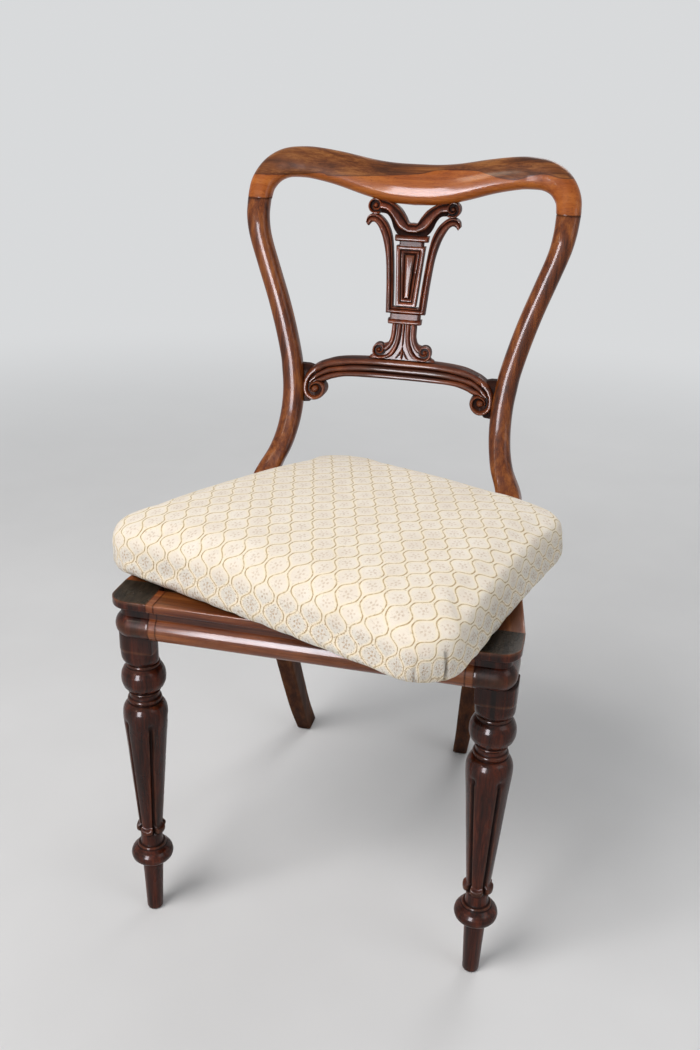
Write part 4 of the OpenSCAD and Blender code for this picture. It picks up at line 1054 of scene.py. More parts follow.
def strip(plane: LeaningPlane, first: Array, second: Array, bead: Bead, height: Array,
          low: float = 0.0) -> Skin:
    """Carved strip between two edges: at every station the section is drawn from one edge to the other.

    Args:
        plane: The plane that it stands on.
        first: Points of one edge, as x and z.
        second: Points of the other edge, as many.
        bead: The section.
        height: Height of the section's crown, one number or one for each station.
        low: Height of the strip's back.

    Returns:
        The strip's closed surface.
    """
    section = np.array(bead.value, float)
    across = section[:, 0][None, :, None]
    flat = first[:, None] + (second - first)[:, None] * across
    crown = np.broadcast_to(np.asarray(height, float), len(first))[:, None]
    w = low + (crown - low) * section[None, :, 1]
    n = len(section)
    order = np.concatenate([np.arange(n), [n - 1, 0]])
    ring = flat[:, order]
    w = np.concatenate([w, np.full((len(first), 2), low)], axis=1)
    ones = np.ones((len(first), 1))
    # Painted shade from the section's third column, and on the strip's back and sides; its fourth column
    # marks worn crowns and painted highlight.
    hollow = ones * np.concatenate([section[:, 2], [0.6, 0.6]])
    wear = ones * np.concatenate([section[:, 3], [0, 0]])
    return tube(plane.place(ring[..., 0], ring[..., 1], w), hollow=hollow, wear=wear)


def button(plane: LeaningPlane, x: float, z: float, r: float, high: float) -> Skin:
    """Round button: rings whose height follows a quarter of an ellipse.

    Args:
        plane: The plane that it stands on.
        x: Its middle.
        z: Its middle.
        r: Its radius.
        high: Height of its crown.

    Returns:
        The button's closed surface.
    """
    turn = full_turn(40)
    lift = np.concatenate([[0.0], np.linspace(0, math.pi / 2, 9)])
    radius = r * np.cos(lift * 0.985)
    w = high * (0.55 * (np.arange(10) > 0) + 0.45 * np.sin(lift))
    rings = plane.place(x + radius[:, None] * np.cos(turn), z + radius[:, None] * np.sin(turn),
                        w[:, None] + 0 * turn)
    # Painted shade round the foot and a worn crown with painted highlight.
    return tube(rings, hollow=(0.5 * (lift < 0.3))[:, None], wear=(0.8 * (lift > 0.9))[:, None])


def plate(plane: LeaningPlane, outline: list, low: float, high: float, hollow: float = 0.8) -> Skin:
    """Flat piece with the outline given, from low to high.

    Args:
        plane: The plane that it stands on.
        outline: Points of the outline.
        low: Height of its back.
        high: Height of its front.
        hollow: Painted shade over its whole surface, as sunk ground.

    Returns:
        The plate's closed surface.
    """
    pts = np.asarray(outline, float)
    middle = pts.mean(axis=0)
    rings = [pts, pts, middle + (pts - middle) * 0.97, middle + (pts - middle) * 0.5]
    heights = [low, high - 0.5, high, high]
    rows = [plane.place(r[:, 0], r[:, 1], np.full(len(r), w)) for r, w in zip(rings, heights)]
    return tube(np.stack(rows), hollow=hollow, wear=0.0)


@dataclass
class CrossRail:
    """Arched bar of three reeds that roll up into a scroll at each end."""

    plan: SeatFramePlan
    thickness: float = 19.0
    scroll_x: float = 114.3
    scroll_z: float = 559.6
    pin_x: float = 126.5
    plane: LeaningPlane = LeaningPlane(467.51, 560.5, 0.2382, bow=15.0, bow_x=114.3, face=19.0)

    top = [(0, 603), (34, 603), (71, 602.1), (91, 599.9), (108.6, 594.7)]
    first_edge = [(0, 593.8), (63, 593.6), (90, 590), (101, 588), (110.5, 582.6)]
    first_groove = [(0, 593.8), (63, 593.6), (90, 590), (101, 588), (112.5, 581.3), (119.5, 575.2),
                    (122.6, 570.0)]
    second_groove = [(0, 585.2), (45, 585.1), (72, 584), (91, 582), (107, 576.5), (116.6, 570.4),
                     (121.4, 567.0)]
    foot = [(0, 577), (40, 577), (74.7, 576.6), (93, 572.9), (104, 568.9), (113.0, 569.8), (120.6, 566.4)]

    def right(self) -> Skin:
        """Reeds between their grooves, the rim that carries the top reed round the scroll, and the eye.

        Returns:
            The right half's surfaces.
        """
        middle = (self.scroll_x, self.scroll_z)
        plane, t = self.plane, self.thickness
        n = 60
        reeds = [
            strip(plane, along(self.top, n), along(self.first_edge, n), Bead.REED, t),
            strip(plane, along(self.first_groove, n), along(self.second_groove, n), Bead.REED,
                  np.linspace(t * 0.97, t * 0.9, n)),
            strip(plane, along(self.second_groove, n), along(self.foot, n), Bead.REED,
                  np.linspace(t * 0.99, t * 0.88, n)),
        ]
        outer = spiral(middle, [(99.5, 35.6), (78, 28.9), (56, 24.0), (18, 18.7), (-30, 16.9),
                                (-76, 15.7), (-130, 15.1), (-180, 14.7), (-225, 12.4), (-270, 9.9),
                                (-315, 8.7), (-360, 8.2), (-420, 7.8)], 150)
        inner = spiral(middle, [(99.5, 23.3), (86, 20.2), (60, 14.6), (18, 10.4), (-30, 9.9), (-90, 9.6),
                                (-130, 9.3), (-180, 9.0), (-225, 7.8), (-270, 6.4), (-315, 5.6),
                                (-360, 5.3), (-420, 5.2)], 150)
        rise = np.linspace(t, t * 1.02, 150) * (1 - 0.3 * ease(np.arange(150), 118, 149))
        rim = strip(plane, outer, inner, Bead.ROUND, rise)
        turn = np.radians(np.linspace(100, -260, 90))
        reach = through([(-100, 30), (-78, 28), (-56, 23.5), (-18, 18.0), (30, 16.2), (76, 15.0),
                         (130, 14.2), (180, 13.4), (260, 13.0)],
                        -np.degrees(turn))[:, 0]
        web = circle(*middle, reach, turn)
        # The web behind the scroll and the ear are sunk ground, almost fully darkened as painted shade.
        parts = reeds + [rim, button(plane, *middle, 5.6, t), plate(plane, web, 0.6, t * 0.7, 0.95)]
        ear = [(139, 540.8), (139, 590.4), (126, 590.2), (119.5, 588.6), (116, 584), (114, 572),
               (114, 556), (116.5, 546), (121, 541.4), (128, 540.6)]
        parts.append(plate(plane, ear, 1.0, t * 0.66, 0.95))
        return joined(parts)

    def build(self, shop: Workshop) -> None:
        """Builds and dresses the rail, both halves in one piece."""
        right = self.right()
        both = joined([right, right.mirrored()])
        shop.frame_piece("cross_rail_dressed", both, Finish.CROSS, "cross_rail")
        box = np.array(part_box("cross_rail_dowels")) / MM
        turn = full_turn(24)
        middle = box.mean(axis=0)
        radius = (box[1, 2] - box[0, 2]) / 2
        x = np.linspace(self.pin_x, box[1, 0], 6)
        rings = ringed(x[:, None], middle[1] + radius * np.cos(turn), middle[2] + radius * np.sin(turn))
        pin = tube(softened(rings, 0.4), hollow=0.0, wear=0.0)
        shop.piece("cross_rail_pins", joined([pin, pin.mirrored()]), Finish.BEECH, FRAME_BODY,
                   "cross_rail_dowels")


@dataclass
class Splat:
    """Carved, pierced splat: scrolled band, straps, panel, caps, ribs and leaf."""

    plan: SeatFramePlan
    plane: LeaningPlane = LeaningPlane(479.9, 616.7, 0.238, face=12.0)

    def band(self) -> list[Skin]:
        """The top band: a fillet above, a bead that rolls up into the scroll, and a deep cove below."""
        upper = [(0, 780.0), (5.2, 780.0), (7.6, 783.0), (10.6, 788.2), (18.8, 798.1), (31.8, 805.8),
                 (39.5, 808.0), (45.5, 809.0)]
        lower = [(0, 763.6), (14, 763.6), (20.5, 765.4), (26.2, 772.6), (30.8, 783.0), (36.8, 789.6),
                 (45.0, 791.0)]
        n = 70
        middle = (52.4, 800.3)
        angles = [(-128, 12.0), (-100, 11.0), (-45, 10.6), (0, 10.4), (45, 10.0), (90, 9.6), (135, 9.0),
                  (180, 8.2), (225, 7.0), (270, 5.9), (315, 5.1), (360, 4.6)]
        cores = [(-128, 9.2), (-100, 8.2), (-45, 7.7), (0, 7.5), (45, 7.1), (90, 6.8), (135, 6.3),
                 (180, 5.5), (225, 4.5), (270, 3.6), (315, 3.0), (360, 2.8)]
        return [
            strip(self.plane, along(upper, n), along(lower, n), Bead.BAND, 13.2),
            self.roll(middle, angles, cores, 90, 13.5, 12.6),
            button(self.plane, *middle, 3.2, 12.8),
            self.disc(*middle, 9.8, 7.0),
            self.disc(49.0, 809.0, 6.4, 8.6),
            self.disc(52.6, 789.8, 3.8, 10.0),
        ]

    def roll(self, middle: tuple, outer: list, inner: list, n: int, start: float, end: float) -> Skin:
        """Bead that winds into a scroll: both edges' radii are smooth functions of the angle."""
        height = np.linspace(start, end, n) * (1 - 0.3 * ease(np.arange(n), n * 0.85, n - 1))
        return strip(self.plane, spiral(middle, outer, n), spiral(middle, inner, n), Bead.ROUND, height)

    def disc(self, x: float, z: float, r: float, high: float) -> Skin:
        """Sunk ground inside a scroll, darkened as painted shade."""
        return plate(self.plane, circle(x, z, r, full_turn(48)), 0.5, high, 0.9)

    def straps(self) -> list[Skin]:
        """The side strap, its foot mitred into the bottom bar, and the curled leaf tip above."""
        inner = [(17.7, 672.5), (18.5, 687), (19.8, 704.7), (23.6, 741.7), (27.3, 762), (34.0, 776.8),
                 (43, 786.2), (51.6, 790.0), (58.2, 789.0), (63.0, 785.0), (64.6, 778.6)]
        outer = [(26.9, 663.8), (28, 680), (29.7, 703.5), (33.3, 735.3), (39, 757.2), (44.6, 769.6),
                 (48.8, 775.8), (52.6, 778.6), (55.4, 778.6), (58.2, 776.8), (60.6, 773.8)]
        n = 96
        height = 12.6 - 2.2 * ease(np.arange(n), 82, n - 1)
        bar_n = 12
        x = np.linspace(0, 1, bar_n)
        top = np.column_stack([17.7 * x, np.full(bar_n, 672.5)])
        low = np.column_stack([26.9 * x, np.full(bar_n, 663.8)])
        return [strip(self.plane, along(inner, n), along(outer, n), Bead.STRAP, height),
                strip(self.plane, top, low, Bead.STRAP, 12.6)]

    def panel(self) -> Skin:
        """Tapered panel: four-cornered rings that step from the frame over a moulding to the tablet."""
        # Rows: half widths below and above, lowest and highest z, height, painted shade in the steps, and
        # worn edges with painted highlight.
        rows = [
            (13.9, 19.7, 674.3, 751.1, 0.0, .5, 0), (13.9, 19.7, 674.3, 751.1, 10.6, .4, 0),
            (13.3, 19.1, 674.9, 750.5, 12.0, 0, 1), (12.0, 17.4, 676.0, 749.3, 12.2, 0, .35),
            (9.4, 14.9, 677.9, 747.6, 12.1, 0, .4), (8.6, 14.2, 678.7, 746.9, 11.6, 0, 1),
            (8.3, 13.8, 679.1, 746.5, 8.6, 1, 0), (7.7, 13.0, 679.8, 745.7, 8.5, .9, 0),
            (6.9, 12.0, 680.7, 744.7, 10.2, .2, .2), (5.8, 10.6, 681.9, 743.3, 10.4, 0, .5),
            (4.6, 8.8, 683.3, 741.6, 9.0, .4, 0), (3.5, 7.1, 684.5, 740.4, 7.4, 1, 0),
            (2.9, 6.2, 685.2, 739.8, 7.4, 1, 0), (2.8, 6.1, 685.3, 739.7, 10.6, .2, .3),
            (2.4, 5.6, 685.8, 739.2, 11.2, 0, .9), (1.2, 2.9, 688.0, 737.0, 11.4, 0, .8)]
        side = np.linspace(0, 1, 17)[:-1]
        rings = []
        for half_low, half_high, z0, z1, w, *_ in rows:
            corner = np.array([(-half_low, z0), (half_low, z0), (half_high, z1), (-half_high, z1)])
            ring = np.concatenate([corner[i] + (corner[(i + 1) % 4] - corner[i]) * side[:, None]
                                   for i in range(4)])
            rings.append(self.plane.place(ring[:, 0], ring[:, 1], np.full(len(ring), w)))
        marks = np.array(rows)[:, 5:]
        return tube(np.stack(rings), hollow=marks[:, :1], wear=marks[:, 1:])

    def caps(self) -> list[Skin]:
        """Necks and moulded caps above and below the panel, their ends rounded over."""
        parts = []
        for half_top, half_low, z1, z0, height, bead in (
                (16.6, 16.6, 757.8, 750.6, 9.6, Bead.FLAT), (23.2, 22.6, 764.2, 756.4, 13.2, Bead.ROUND),
                (20.8, 20.8, 664.0, 656.4, 9.8, Bead.FLAT), (23.2, 22.8, 656.9, 650.3, 13.6, Bead.ROUND)):
            s = np.concatenate([[-1, -0.985, -0.96, -0.93], np.linspace(-0.88, 0.88, 15),
                                [0.93, 0.96, 0.985, 1]])
            fall = 1 - 0.35 * ease(np.abs(s), 0.9, 1.0) ** 2
            top = np.column_stack([s * half_top, np.full(len(s), z1)])
            low = np.column_stack([s * half_low, np.full(len(s), z0)])
            made = strip(self.plane, top, low, bead, height * fall)
            # The flat necks are given painted shade and little of the worn highlight.
            if bead is Bead.FLAT:
                made.marks["hollow"] = np.maximum(made.marks["hollow"], 0.5)
                made.marks["wear"] *= 0.2
            parts.append(made)
        return parts

    def foot(self) -> list[Skin]:
        """Ribs of the stem, which part and roll up into the small scrolls, with the ground behind them."""
        middle = (31.4, 615.6)
        n = 50
        rib_in = [(2.6, 650.8), (2.7, 640), (3.6, 630), (6.2, 620), (11.4, 610.6), (18.5, 605.4),
                  (26.5, 603.9)]
        rib_out = [(9.2, 650.8), (9.1, 640), (9.8, 631), (12.0, 622.6), (15.8, 615.4), (20.8, 610.0),
                   (27.5, 607.6)]
        angles = [(-112, 12.2), (-90, 11.9), (-45, 10.6), (0, 9.2), (45, 9.0), (90, 8.9), (135, 8.4),
                  (180, 7.2), (225, 5.8), (270, 4.9), (315, 4.4), (360, 4.2), (390, 4.0)]
        cores = [(-112, 8.3), (-90, 8.2), (-45, 7.2), (0, 6.2), (45, 6.1), (90, 6.0), (135, 5.5),
                 (180, 4.5), (225, 3.5), (270, 2.8), (315, 2.5), (360, 2.3), (390, 2.2)]
        side_in = [(10.2, 650.8), (10.2, 641), (11.0, 632.6), (13.2, 624.6), (17.0, 617.6), (21.6, 613.6)]
        side_out = [(16.1, 650.8), (16.7, 641), (17.3, 633.6), (18.9, 627.8), (22.4, 623.2), (25.0, 620.6)]
        mid = np.linspace(650.8, 622.5, 20)
        half = 1.5 * (1 - 0.5 * ease(-mid, -640, -622))
        both = [
            strip(self.plane, along(rib_in, n), along(rib_out, n), Bead.ROUND, np.linspace(12.2, 13.2, n)),
            self.roll(middle, angles, cores, 90, 13.2, 12.4),
            button(self.plane, *middle, 2.6, 12.6),
            self.disc(*middle, 9.0, 7.6),
            strip(self.plane, along(side_in, n), along(side_out, n), Bead.ROUND,
                  np.linspace(11.4, 10.6, n)),
        ]
        centre = [
            strip(self.plane, np.column_stack([-half, mid]), np.column_stack([half, mid]), Bead.ROUND,
                  10.8),
            self.ground_piece(),
            # Ground behind the upper cap and the band, darkened as painted shade.
            plate(self.plane, [(-17, 756), (17, 756), (19, 770), (-19, 770)], 0.5, 7.0, 0.95),
        ]
        return [*both, *[s.mirrored() for s in both], *centre, *self.leaf()]

    def ground_piece(self) -> Skin:
        """Sunk ground behind the ribs, as level strips between two edges."""
        edge = [(603.4, 46.3), (606, 44), (608, 40), (615.6, 38.5), (620, 34.5), (622.5, 28), (624, 22),
                (626, 19.2), (634, 17.2), (651, 16.8)]
        z = np.linspace(603.4, 651, 60)
        half = np.interp(z, [e[0] for e in edge], [e[1] for e in edge])
        return strip(self.plane, np.column_stack([-half, z]), np.column_stack([half, z]), Bead.FLAT, 6.0)

    def leaf(self) -> list[Skin]:
        """Small leaf between the ribs: lobes that droop from the stem, each one swelling and closing."""
        lobes = [
            ([(0, 621), (0, 615), (0, 609), (0, 604.4)], 3.4, 12.0), ([(1.2, 617), (3.4, 612), (6.0, 608),
                                                                       (9.0, 605.0)], 2.6, 11.2),
            ([(-1.2, 617), (-3.4, 612), (-6.0, 608), (-9.0, 605.0)], 2.6, 11.2)]
        parts = []
        for path, width, height in lobes:
            line = along(path, 26)
            way = np.gradient(line, axis=0)
            way /= np.linalg.norm(way, axis=1, keepdims=True)
            side = np.column_stack([-way[:, 1], way[:, 0]])
            t = np.linspace(0, 1, 26)
            swell = np.sin(math.pi * np.clip(t * 0.93 + 0.05, 0, 1)) ** 0.7 * (1 + 0.12 * np.cos(t * 22))
            out = side * (width * 0.5 * swell)[:, None]
            parts.append(strip(self.plane, line - out, line + out, Bead.ROUND, height))
        return parts

    def build(self, shop: Workshop) -> None:
        """Builds and dresses the splat as one piece."""
        right = self.band() + self.straps()
        skins = [*right, *[s.mirrored() for s in right], self.panel(), *self.caps(), *self.foot()]
        shop.frame_piece("splat_carved", joined(skins), Finish.CARVED, "splat", 50.0)


@dataclass
class FrontLeg:
    """Front leg: turned and carved below, a die above it, then the moulded block in the seat frame."""

    plan: SeatFramePlan
    leaves: int = 5
    groove_depth: float = 2.6
    groove_half: float = 1.9
    dimple_depth: float = 2.4
    dimple_h: float = 272.5
    tip_h: float = 115.0
    tip_out: float = 4.4
    per_leaf: int = 34
    die_step: float = 14.0
    die_depth: float = 39.0
    die_round: float = 16.0

    turned = [
        (0, 8.6), (0.6, 9.3), (2, 9.6), (30, 10.7), (60, 11.9), (70, 12.3), (72.2, 12.6), (73.2, 14.2),
        (74.4, 17.6), (76.6, 21.4), (80, 24.1), (84.4, 25.0), (88.6, 24.0), (92, 21.6), (94.4, 18.8),
        (95.6, 17.4), (96.2, 17.0), (97.4, 16.9), (98.6, 16.2), (99.2, 14.6), (100.4, 13.6), (104, 13.0),
        (110, 12.9), (116, 12.9), (122, 13.2), (128, 13.9), (150, 15.6), (175, 17.5), (200, 19.4),
        (225, 21.2), (245, 22.7), (262, 24.2), (274, 25.2), (283, 25.5), (289, 24.7), (293.4, 22.9),
        (296, 20.9), (297.0, 19.4), (297.5, 18.4), (298.4, 18.3), (299.4, 19.0), (301.2, 19.5),
        (303.0, 19.0), (303.8, 18.0), (304.6, 17.1), (307, 16.7), (309.6, 16.9), (310.2, 17.6),
        (311.2, 18.2), (312.2, 17.7), (312.8, 16.9), (313.8, 17.3), (315.6, 20.0), (319.2, 23.0),
        (325, 24.9), (330.4, 25.2), (336, 24.5), (341.2, 22.2), (344.0, 19.8), (344.8, 18.9),
        (345.6, 19.0), (347.2, 19.3), (348.6, 18.6), (349.2, 17.8), (350.2, 17.7), (352, 17.7)]

    def shaft(self) -> Skin:
        """Turned shaft: the profile's radius, less the grooves, plus the curled tips of the leaves.

        A groove's depth falls off with the fourth power of the distance from its middle line and dies
        into a wide dimple at the top. A tip is a bulge whose lower edge is curved.

        Returns:
            The shaft's closed surface.
        """
        rows = np.array(self.turned)
        spans = ((70, 104, 50), (108, 134, 46), (134, 296, 80), (262, 282, 24), (296, 352, 70),
                 (2, 70, 10))
        levels = [rows[:, 0], *(np.linspace(*span) for span in spans)]
        z = np.unique(np.round(np.concatenate(levels), 1))
        radius = np.interp(z, rows[:, 0], rows[:, 1])
        smooth = through(self.turned, z)[:, 0]
        radius = np.where((z > 128) & (z < 296), smooth, 0.5 * (radius + smooth))
        t = np.linspace(-1, 1, self.per_leaf, endpoint=False)
        warp = np.sign(t) * (1 - (1 - np.abs(t)) ** 1.45)
        step = 2 * math.pi / self.leaves
        base = -math.pi / 2 + np.arange(self.leaves)[:, None] * step
        theta = (base + warp[None, :] * step / 2).reshape(-1)
        phi = np.tile(warp, self.leaves)
        from_groove = (1 - np.abs(phi))[None, :] * step / 2 * radius[:, None]
        run = (ease(z, 112.5, 116) * (1 - ease(z, 266, 272)))[:, None]
        cut = self.groove_depth * run * np.exp(-((from_groove / self.groove_half) ** 4))
        dimple = np.exp(-((from_groove / 3.4) ** 2) - ((z[:, None] - self.dimple_h) / 4.2) ** 2)
        dimple = self.dimple_depth * dimple
        low = self.tip_h + 5.0 * phi[None, :] ** 2
        lip = np.exp(-(((z[:, None] - low - 4.6) / 4.4) ** 4)) * (1 - 0.9 * np.abs(phi[None, :]) ** 5)
        lip = self.tip_out * lip * ease(z, 108, 114)[:, None]
        r = radius[:, None] - cut - dimple + lip
        rings = ringed(self.plan.leg_x + r * np.cos(theta), self.plan.leg_y + r * np.sin(theta), z[:, None])
        # Painted shade: the concave parts of the profile, the grooves, the dimples and a band under the
        # leaf tips are darkened.
        curve = np.gradient(np.gradient(radius, z), z)
        dark = np.clip(curve * 1.1, 0, 0.9)[:, None]
        below = 0.9 * np.exp(-(((z[:, None] - low + 1.2) / 1.5) ** 2)) * ease(z, 108, 113)[:, None]
        hollow = np.clip(dark + 1.1 * cut / self.groove_depth + 0.28 * dimple + below, 0, 1)
        # Groove edges, convex parts and leaf tips are lightened as worn polish and painted highlight.
        edge = np.exp(-(((from_groove - 3.2) / 1.0) ** 2)) * run * 0.35
        wear = np.clip(-curve[:, None] * 0.35, 0, 0.5) + edge + 0.3 * (lip > 3)
        return tube(rings, hollow=hollow, wear=np.clip(wear, 0, 1), endgrain=0 * hollow)

    def outline(self, r_out: float, x0: float, x1: float, y0: float, y1: float, r_back: float,
                small: float) -> Array:
        """Four-cornered plan with its corners rounded, as points going round from the inner front corner.

        Args:
            r_out: Radius of the outer front corner.
            x0: Inner side.
            x1: Outer side.
            y0: Front.
            y1: Back.
            r_back: Radius of the inner back corner.
            small: Radius of the outer back corner.

        Returns:
            The plan's points.
        """
        def corner(x: float, y: float, r: float, start: float, n: int) -> Array:
            """Quarter circle about its middle."""
            return circle(x, y, r, np.radians(np.linspace(start, start + 90, n)))

        def side(a: Array, b: Array, n: int) -> Array:
            """Even points between two corners, without the ends."""
            t = np.linspace(0, 1, n + 2)[1:-1, None]
            return a + (b - a) * t

        corners = [corner(x0 + 0.6, y0 + 0.6, 0.6, 180, 4), corner(x1 - r_out, y0 + r_out, r_out, 270, 20),
                   corner(x1 - small, y1 - small, small, 0, 8),
                   corner(x0 + r_back, y1 - r_back, r_back, 90, 20)]
        parts = []
        for i, c in enumerate(corners):
            parts += [c, side(c[-1], corners[(i + 1) % 4][0], 10)]
        return np.concatenate(parts)

    def die(self) -> Skin:
        """The die: its plan held within a turned radius that draws in towards the ball.

        Returns:
            The die's closed surface.
        """
        p = self.plan
        x0 = p.front_half - p.block_w + 1.6
        plan = self.outline(self.die_round, x0, p.front_half - 1.0, self.die_step,
                            self.die_step + self.die_depth, 24.0, 4.0)
        out = plan - np.array([p.leg_x, p.leg_y])
        size = np.linalg.norm(out, axis=1)
        rows = [(349.6, 17.6), (350.4, 19.4), (352, 21.4), (355, 23.6), (358.6, 25.2), (362.5, 26.3),
                (366.0, 27.0), (367.6, 27.4), (368.2, 28.3), (368.8, 30.4), (370.2, 33.4), (373, 37.0),
                (377, 42.0), (384, 60.0), (390.5, 80.0)]
        z = np.unique(np.round(np.concatenate([[r[0] for r in rows], np.linspace(350, 390.5, 40)]), 1))
        limit = np.interp(z, [r[0] for r in rows], [r[1] for r in rows])
        held = size[None, :] * limit[:, None] / (size[None, :] ** 14 + limit[:, None] ** 14) ** (1 / 14)
        flat = np.array([p.leg_x, p.leg_y]) + out[None] / size[None, :, None] * held[..., None]
        rings = ringed(flat[..., 0], flat[..., 1], z[:, None])
        # Painted shade at its narrow foot and a dark joint line at the top, where it meets the block; the
        # lower edge of its flat faces is lightened as worn polish and painted highlight.
        hollow = (0.6 * ease(z, 387.8, 389.4) + 0.7 * (1 - ease(z, 350, 353)))[:, None] + 0 * held
        near = np.clip(1 - np.abs(held - size[None, :]) * 0.6, 0, 1)
        edge = 0.6 * near * np.exp(-((z[:, None] - 369.5) / 1.5) ** 2)
        return tube(rings, hollow=np.clip(hollow, 0, 1), wear=edge, endgrain=0 * hollow)

    def block(self) -> Skin:
        """The moulded block: the plan drawn in by the moulding's depth at every height of its section.

        On the flat top and foot the inner and back sides draw in too, by 0.6 of the depth past the edge.

        Returns:
            The block's closed surface, its top marked as end grain.
        """
        p = self.plan
        section = p.moulding(24.0)
        x0, x1, y1 = p.front_half - p.block_w, p.front_half, p.block_d
        rings = []
        _, hollow, wear = p.face_marks(section)
        for d, z in section:
            r = max(p.block_round - d, 0.8)
            flat = 1.0 if z > -0.02 else (18.0 if z < -49.98 else d)
            inside = 0.6 * max(d - flat, 0.0)
            plan = self.outline(r, x0 + inside, x1 - d, d, y1 - inside, 0.6, 0.6)
            rings.append(np.column_stack([plan, np.full(len(plan), p.seat_h + z)]))
        top = np.where(section[:, 1:] > -0.02, 1.0, 0.0)
        return tube(np.stack(rings), hollow=hollow[:, None], wear=wear[:, None], endgrain=top)

    def build(self, shop: Workshop) -> None:
        """Builds and dresses both front legs."""
        right = joined([self.shaft(), self.die(), self.block()])
        shop.pair("_leg_turned", right, (Finish.LEG,), "_front_leg", 40.0)


# Cloth finishes

@dataclass(frozen=True)
class Damask:
    """Woven damask: a cream ground, gold trellis lines and sprigs, woven threads and brown specks, with
    painted shade on the flanks and in the folds.
    """

    name: str = "cream_damask"
    thread_count: float = 1500.0

    def material(self, effects: Effects) -> bpy.types.Material:
        """Builds the finish on the coordinates that the cover's mesh carries.

        Args:
            effects: The shared node groups.

        Returns:
            The material.
        """
        made, net, shader = new_material(self.name)
        place = net.mark("cloth", "Vector")
        side = net.mark("side")
        trellis = net.group(effects.trellis, Vector=place)
        threads = net.group(effects.threads, Vector=place, Count=self.thread_count)
        cloud = net.noise(place, 24.0, 4.0)
        warp = net.drawn(place, (2600, 130, 1), 2.0)
        weft = net.drawn(place, (130, 2600, 1), 2.0)
        slub = net.times(warp, 0.5, net.times(weft, 0.5))
        ground = net.ramp(cloud, [(0.3, srgb(234, 222, 206)), (0.5, srgb(241, 230, 214)),
                                  (0.7, srgb(246, 237, 223))])
        ground = net.mix(net.between(slub, 0.42, 0.62, 0.0, 0.22), ground, srgb(222, 203, 178))
        cream = net.times(net.less(1.0, trellis.outputs["Inside"]), 0.55)
        ground = net.mix(cream, ground, srgb(250, 236, 204))
        worn = net.between(net.noise(place, 210.0, 3.0), 0.28, 0.58, 0.35, 1.0)
        line = net.times(trellis.outputs["Line"], worn)
        gold = net.mix(slub, srgb(168, 134, 78), srgb(204, 176, 120))
        colour = net.mix(net.times(line, 0.85), ground, gold)
        tick = net.times(line, trellis.outputs["Neck"])
        colour = net.mix(net.times(tick, 0.5), colour, srgb(146, 108, 56))
        sprig = net.times(trellis.outputs["Sprig"], worn)
        # Painted shade on the flanks: the cells turn grey there, and the sprigs and brown specks are drawn
        # stronger.
        flank_shade = net.times(trellis.outputs["Inside"], net.times(side, 0.44))
        colour = net.mix(flank_shade, colour, srgb(207, 207, 203))
        colour = net.mix(net.times(sprig, net.times(side, 0.34, 0.36)), colour, srgb(176, 136, 84))
        speck = net.between(net.noise(place, 460.0, 2.0, 0.6), 0.56, 0.64)
        patch = net.between(net.noise(place, 90.0, 2.0), 0.45, 0.62)
        dirt_and_shade = net.times(speck, net.times(side, 0.62, net.times(patch, 0.34)))
        colour = net.mix(dirt_and_shade, colour, srgb(154, 120, 74))
        # Painted shade: the whole flank is darkened a little.
        colour = net.mix(net.times(side, 0.12), colour, srgb(204, 190, 168))
        # Painted shade in the corner folds and a painted shadow line along the cover's foot.
        crease_shade = net.mark("crease_shade")
        colour = net.mix(net.times(crease_shade, 0.9), colour, srgb(70, 50, 36))
        net.put(shader.inputs["Base Color"], colour)
        shader.inputs["Roughness"].default_value = 0.82
        shader.inputs["Specular IOR Level"].default_value = 0.25
        shader.inputs["Sheen Weight"].default_value = 0.25
        shader.inputs["Sheen Roughness"].default_value = 0.5
        rise = net.times(line, 0.8, net.times(threads.outputs["Height"], 0.5, slub))
        net.bump(shader, rise, 0.45, 0.0006)
        return made


@dataclass(frozen=True)
class Fabric:
    """Plain woven cloth or webbing with threads and uneven tone."""

    name: str
    dark: tuple
    light: tuple
    thread_count: float
    roughness: float = 0.85

    def material(self, effects: Effects) -> bpy.types.Material:
        """Builds the finish on object coordinates.

        Args:
            effects: The shared node groups.

        Returns:
            The material.
        """
        made, net, shader = new_material(self.name)
        place = net.node("ShaderNodeTexCoord").outputs["Object"]
        laid = net.mapping(place, turn=(0, 0, math.radians(SEAT_TURN)))
        threads = net.group(effects.threads, Vector=laid, Count=self.thread_count)
        tone = net.times(net.noise(place, 60.0), 0.6, net.times(threads.outputs["Shade"], 0.4))
        net.put(shader.inputs["Base Color"], net.ramp(tone, [(0.25, self.dark), (0.8, self.light)]))
        shader.inputs["Roughness"].default_value = self.roughness
        net.bump(shader, threads.outputs["Height"], 0.5, 0.0006)
        return made


@dataclass(frozen=True)
class Metal:
    """Dull steel with faint scratches and spots of rust."""

    name: str
    bright: tuple
    dark: tuple

    def material(self, effects: Effects) -> bpy.types.Material:
        """Builds the finish on object coordinates.

        Args:
            effects: The shared node groups, none of which is needed here.

        Returns:
            The material.
        """
        made, net, shader = new_material(self.name)
        place = net.node("ShaderNodeTexCoord").outputs["Object"]
        patch = net.noise(place, 320.0, 4.0)
        net.put(shader.inputs["Base Color"], net.ramp(patch, [(0.35, self.dark), (0.6, self.bright)]))
        net.put(shader.inputs["Roughness"], net.between(patch, 0.3, 0.7, 0.6, 0.36))
        net.put(shader.inputs["Metallic"], net.between(patch, 0.36, 0.5))
        net.bump(shader, net.noise(place, 1500.0, 3.0), 0.25, 0.0002)
        return made


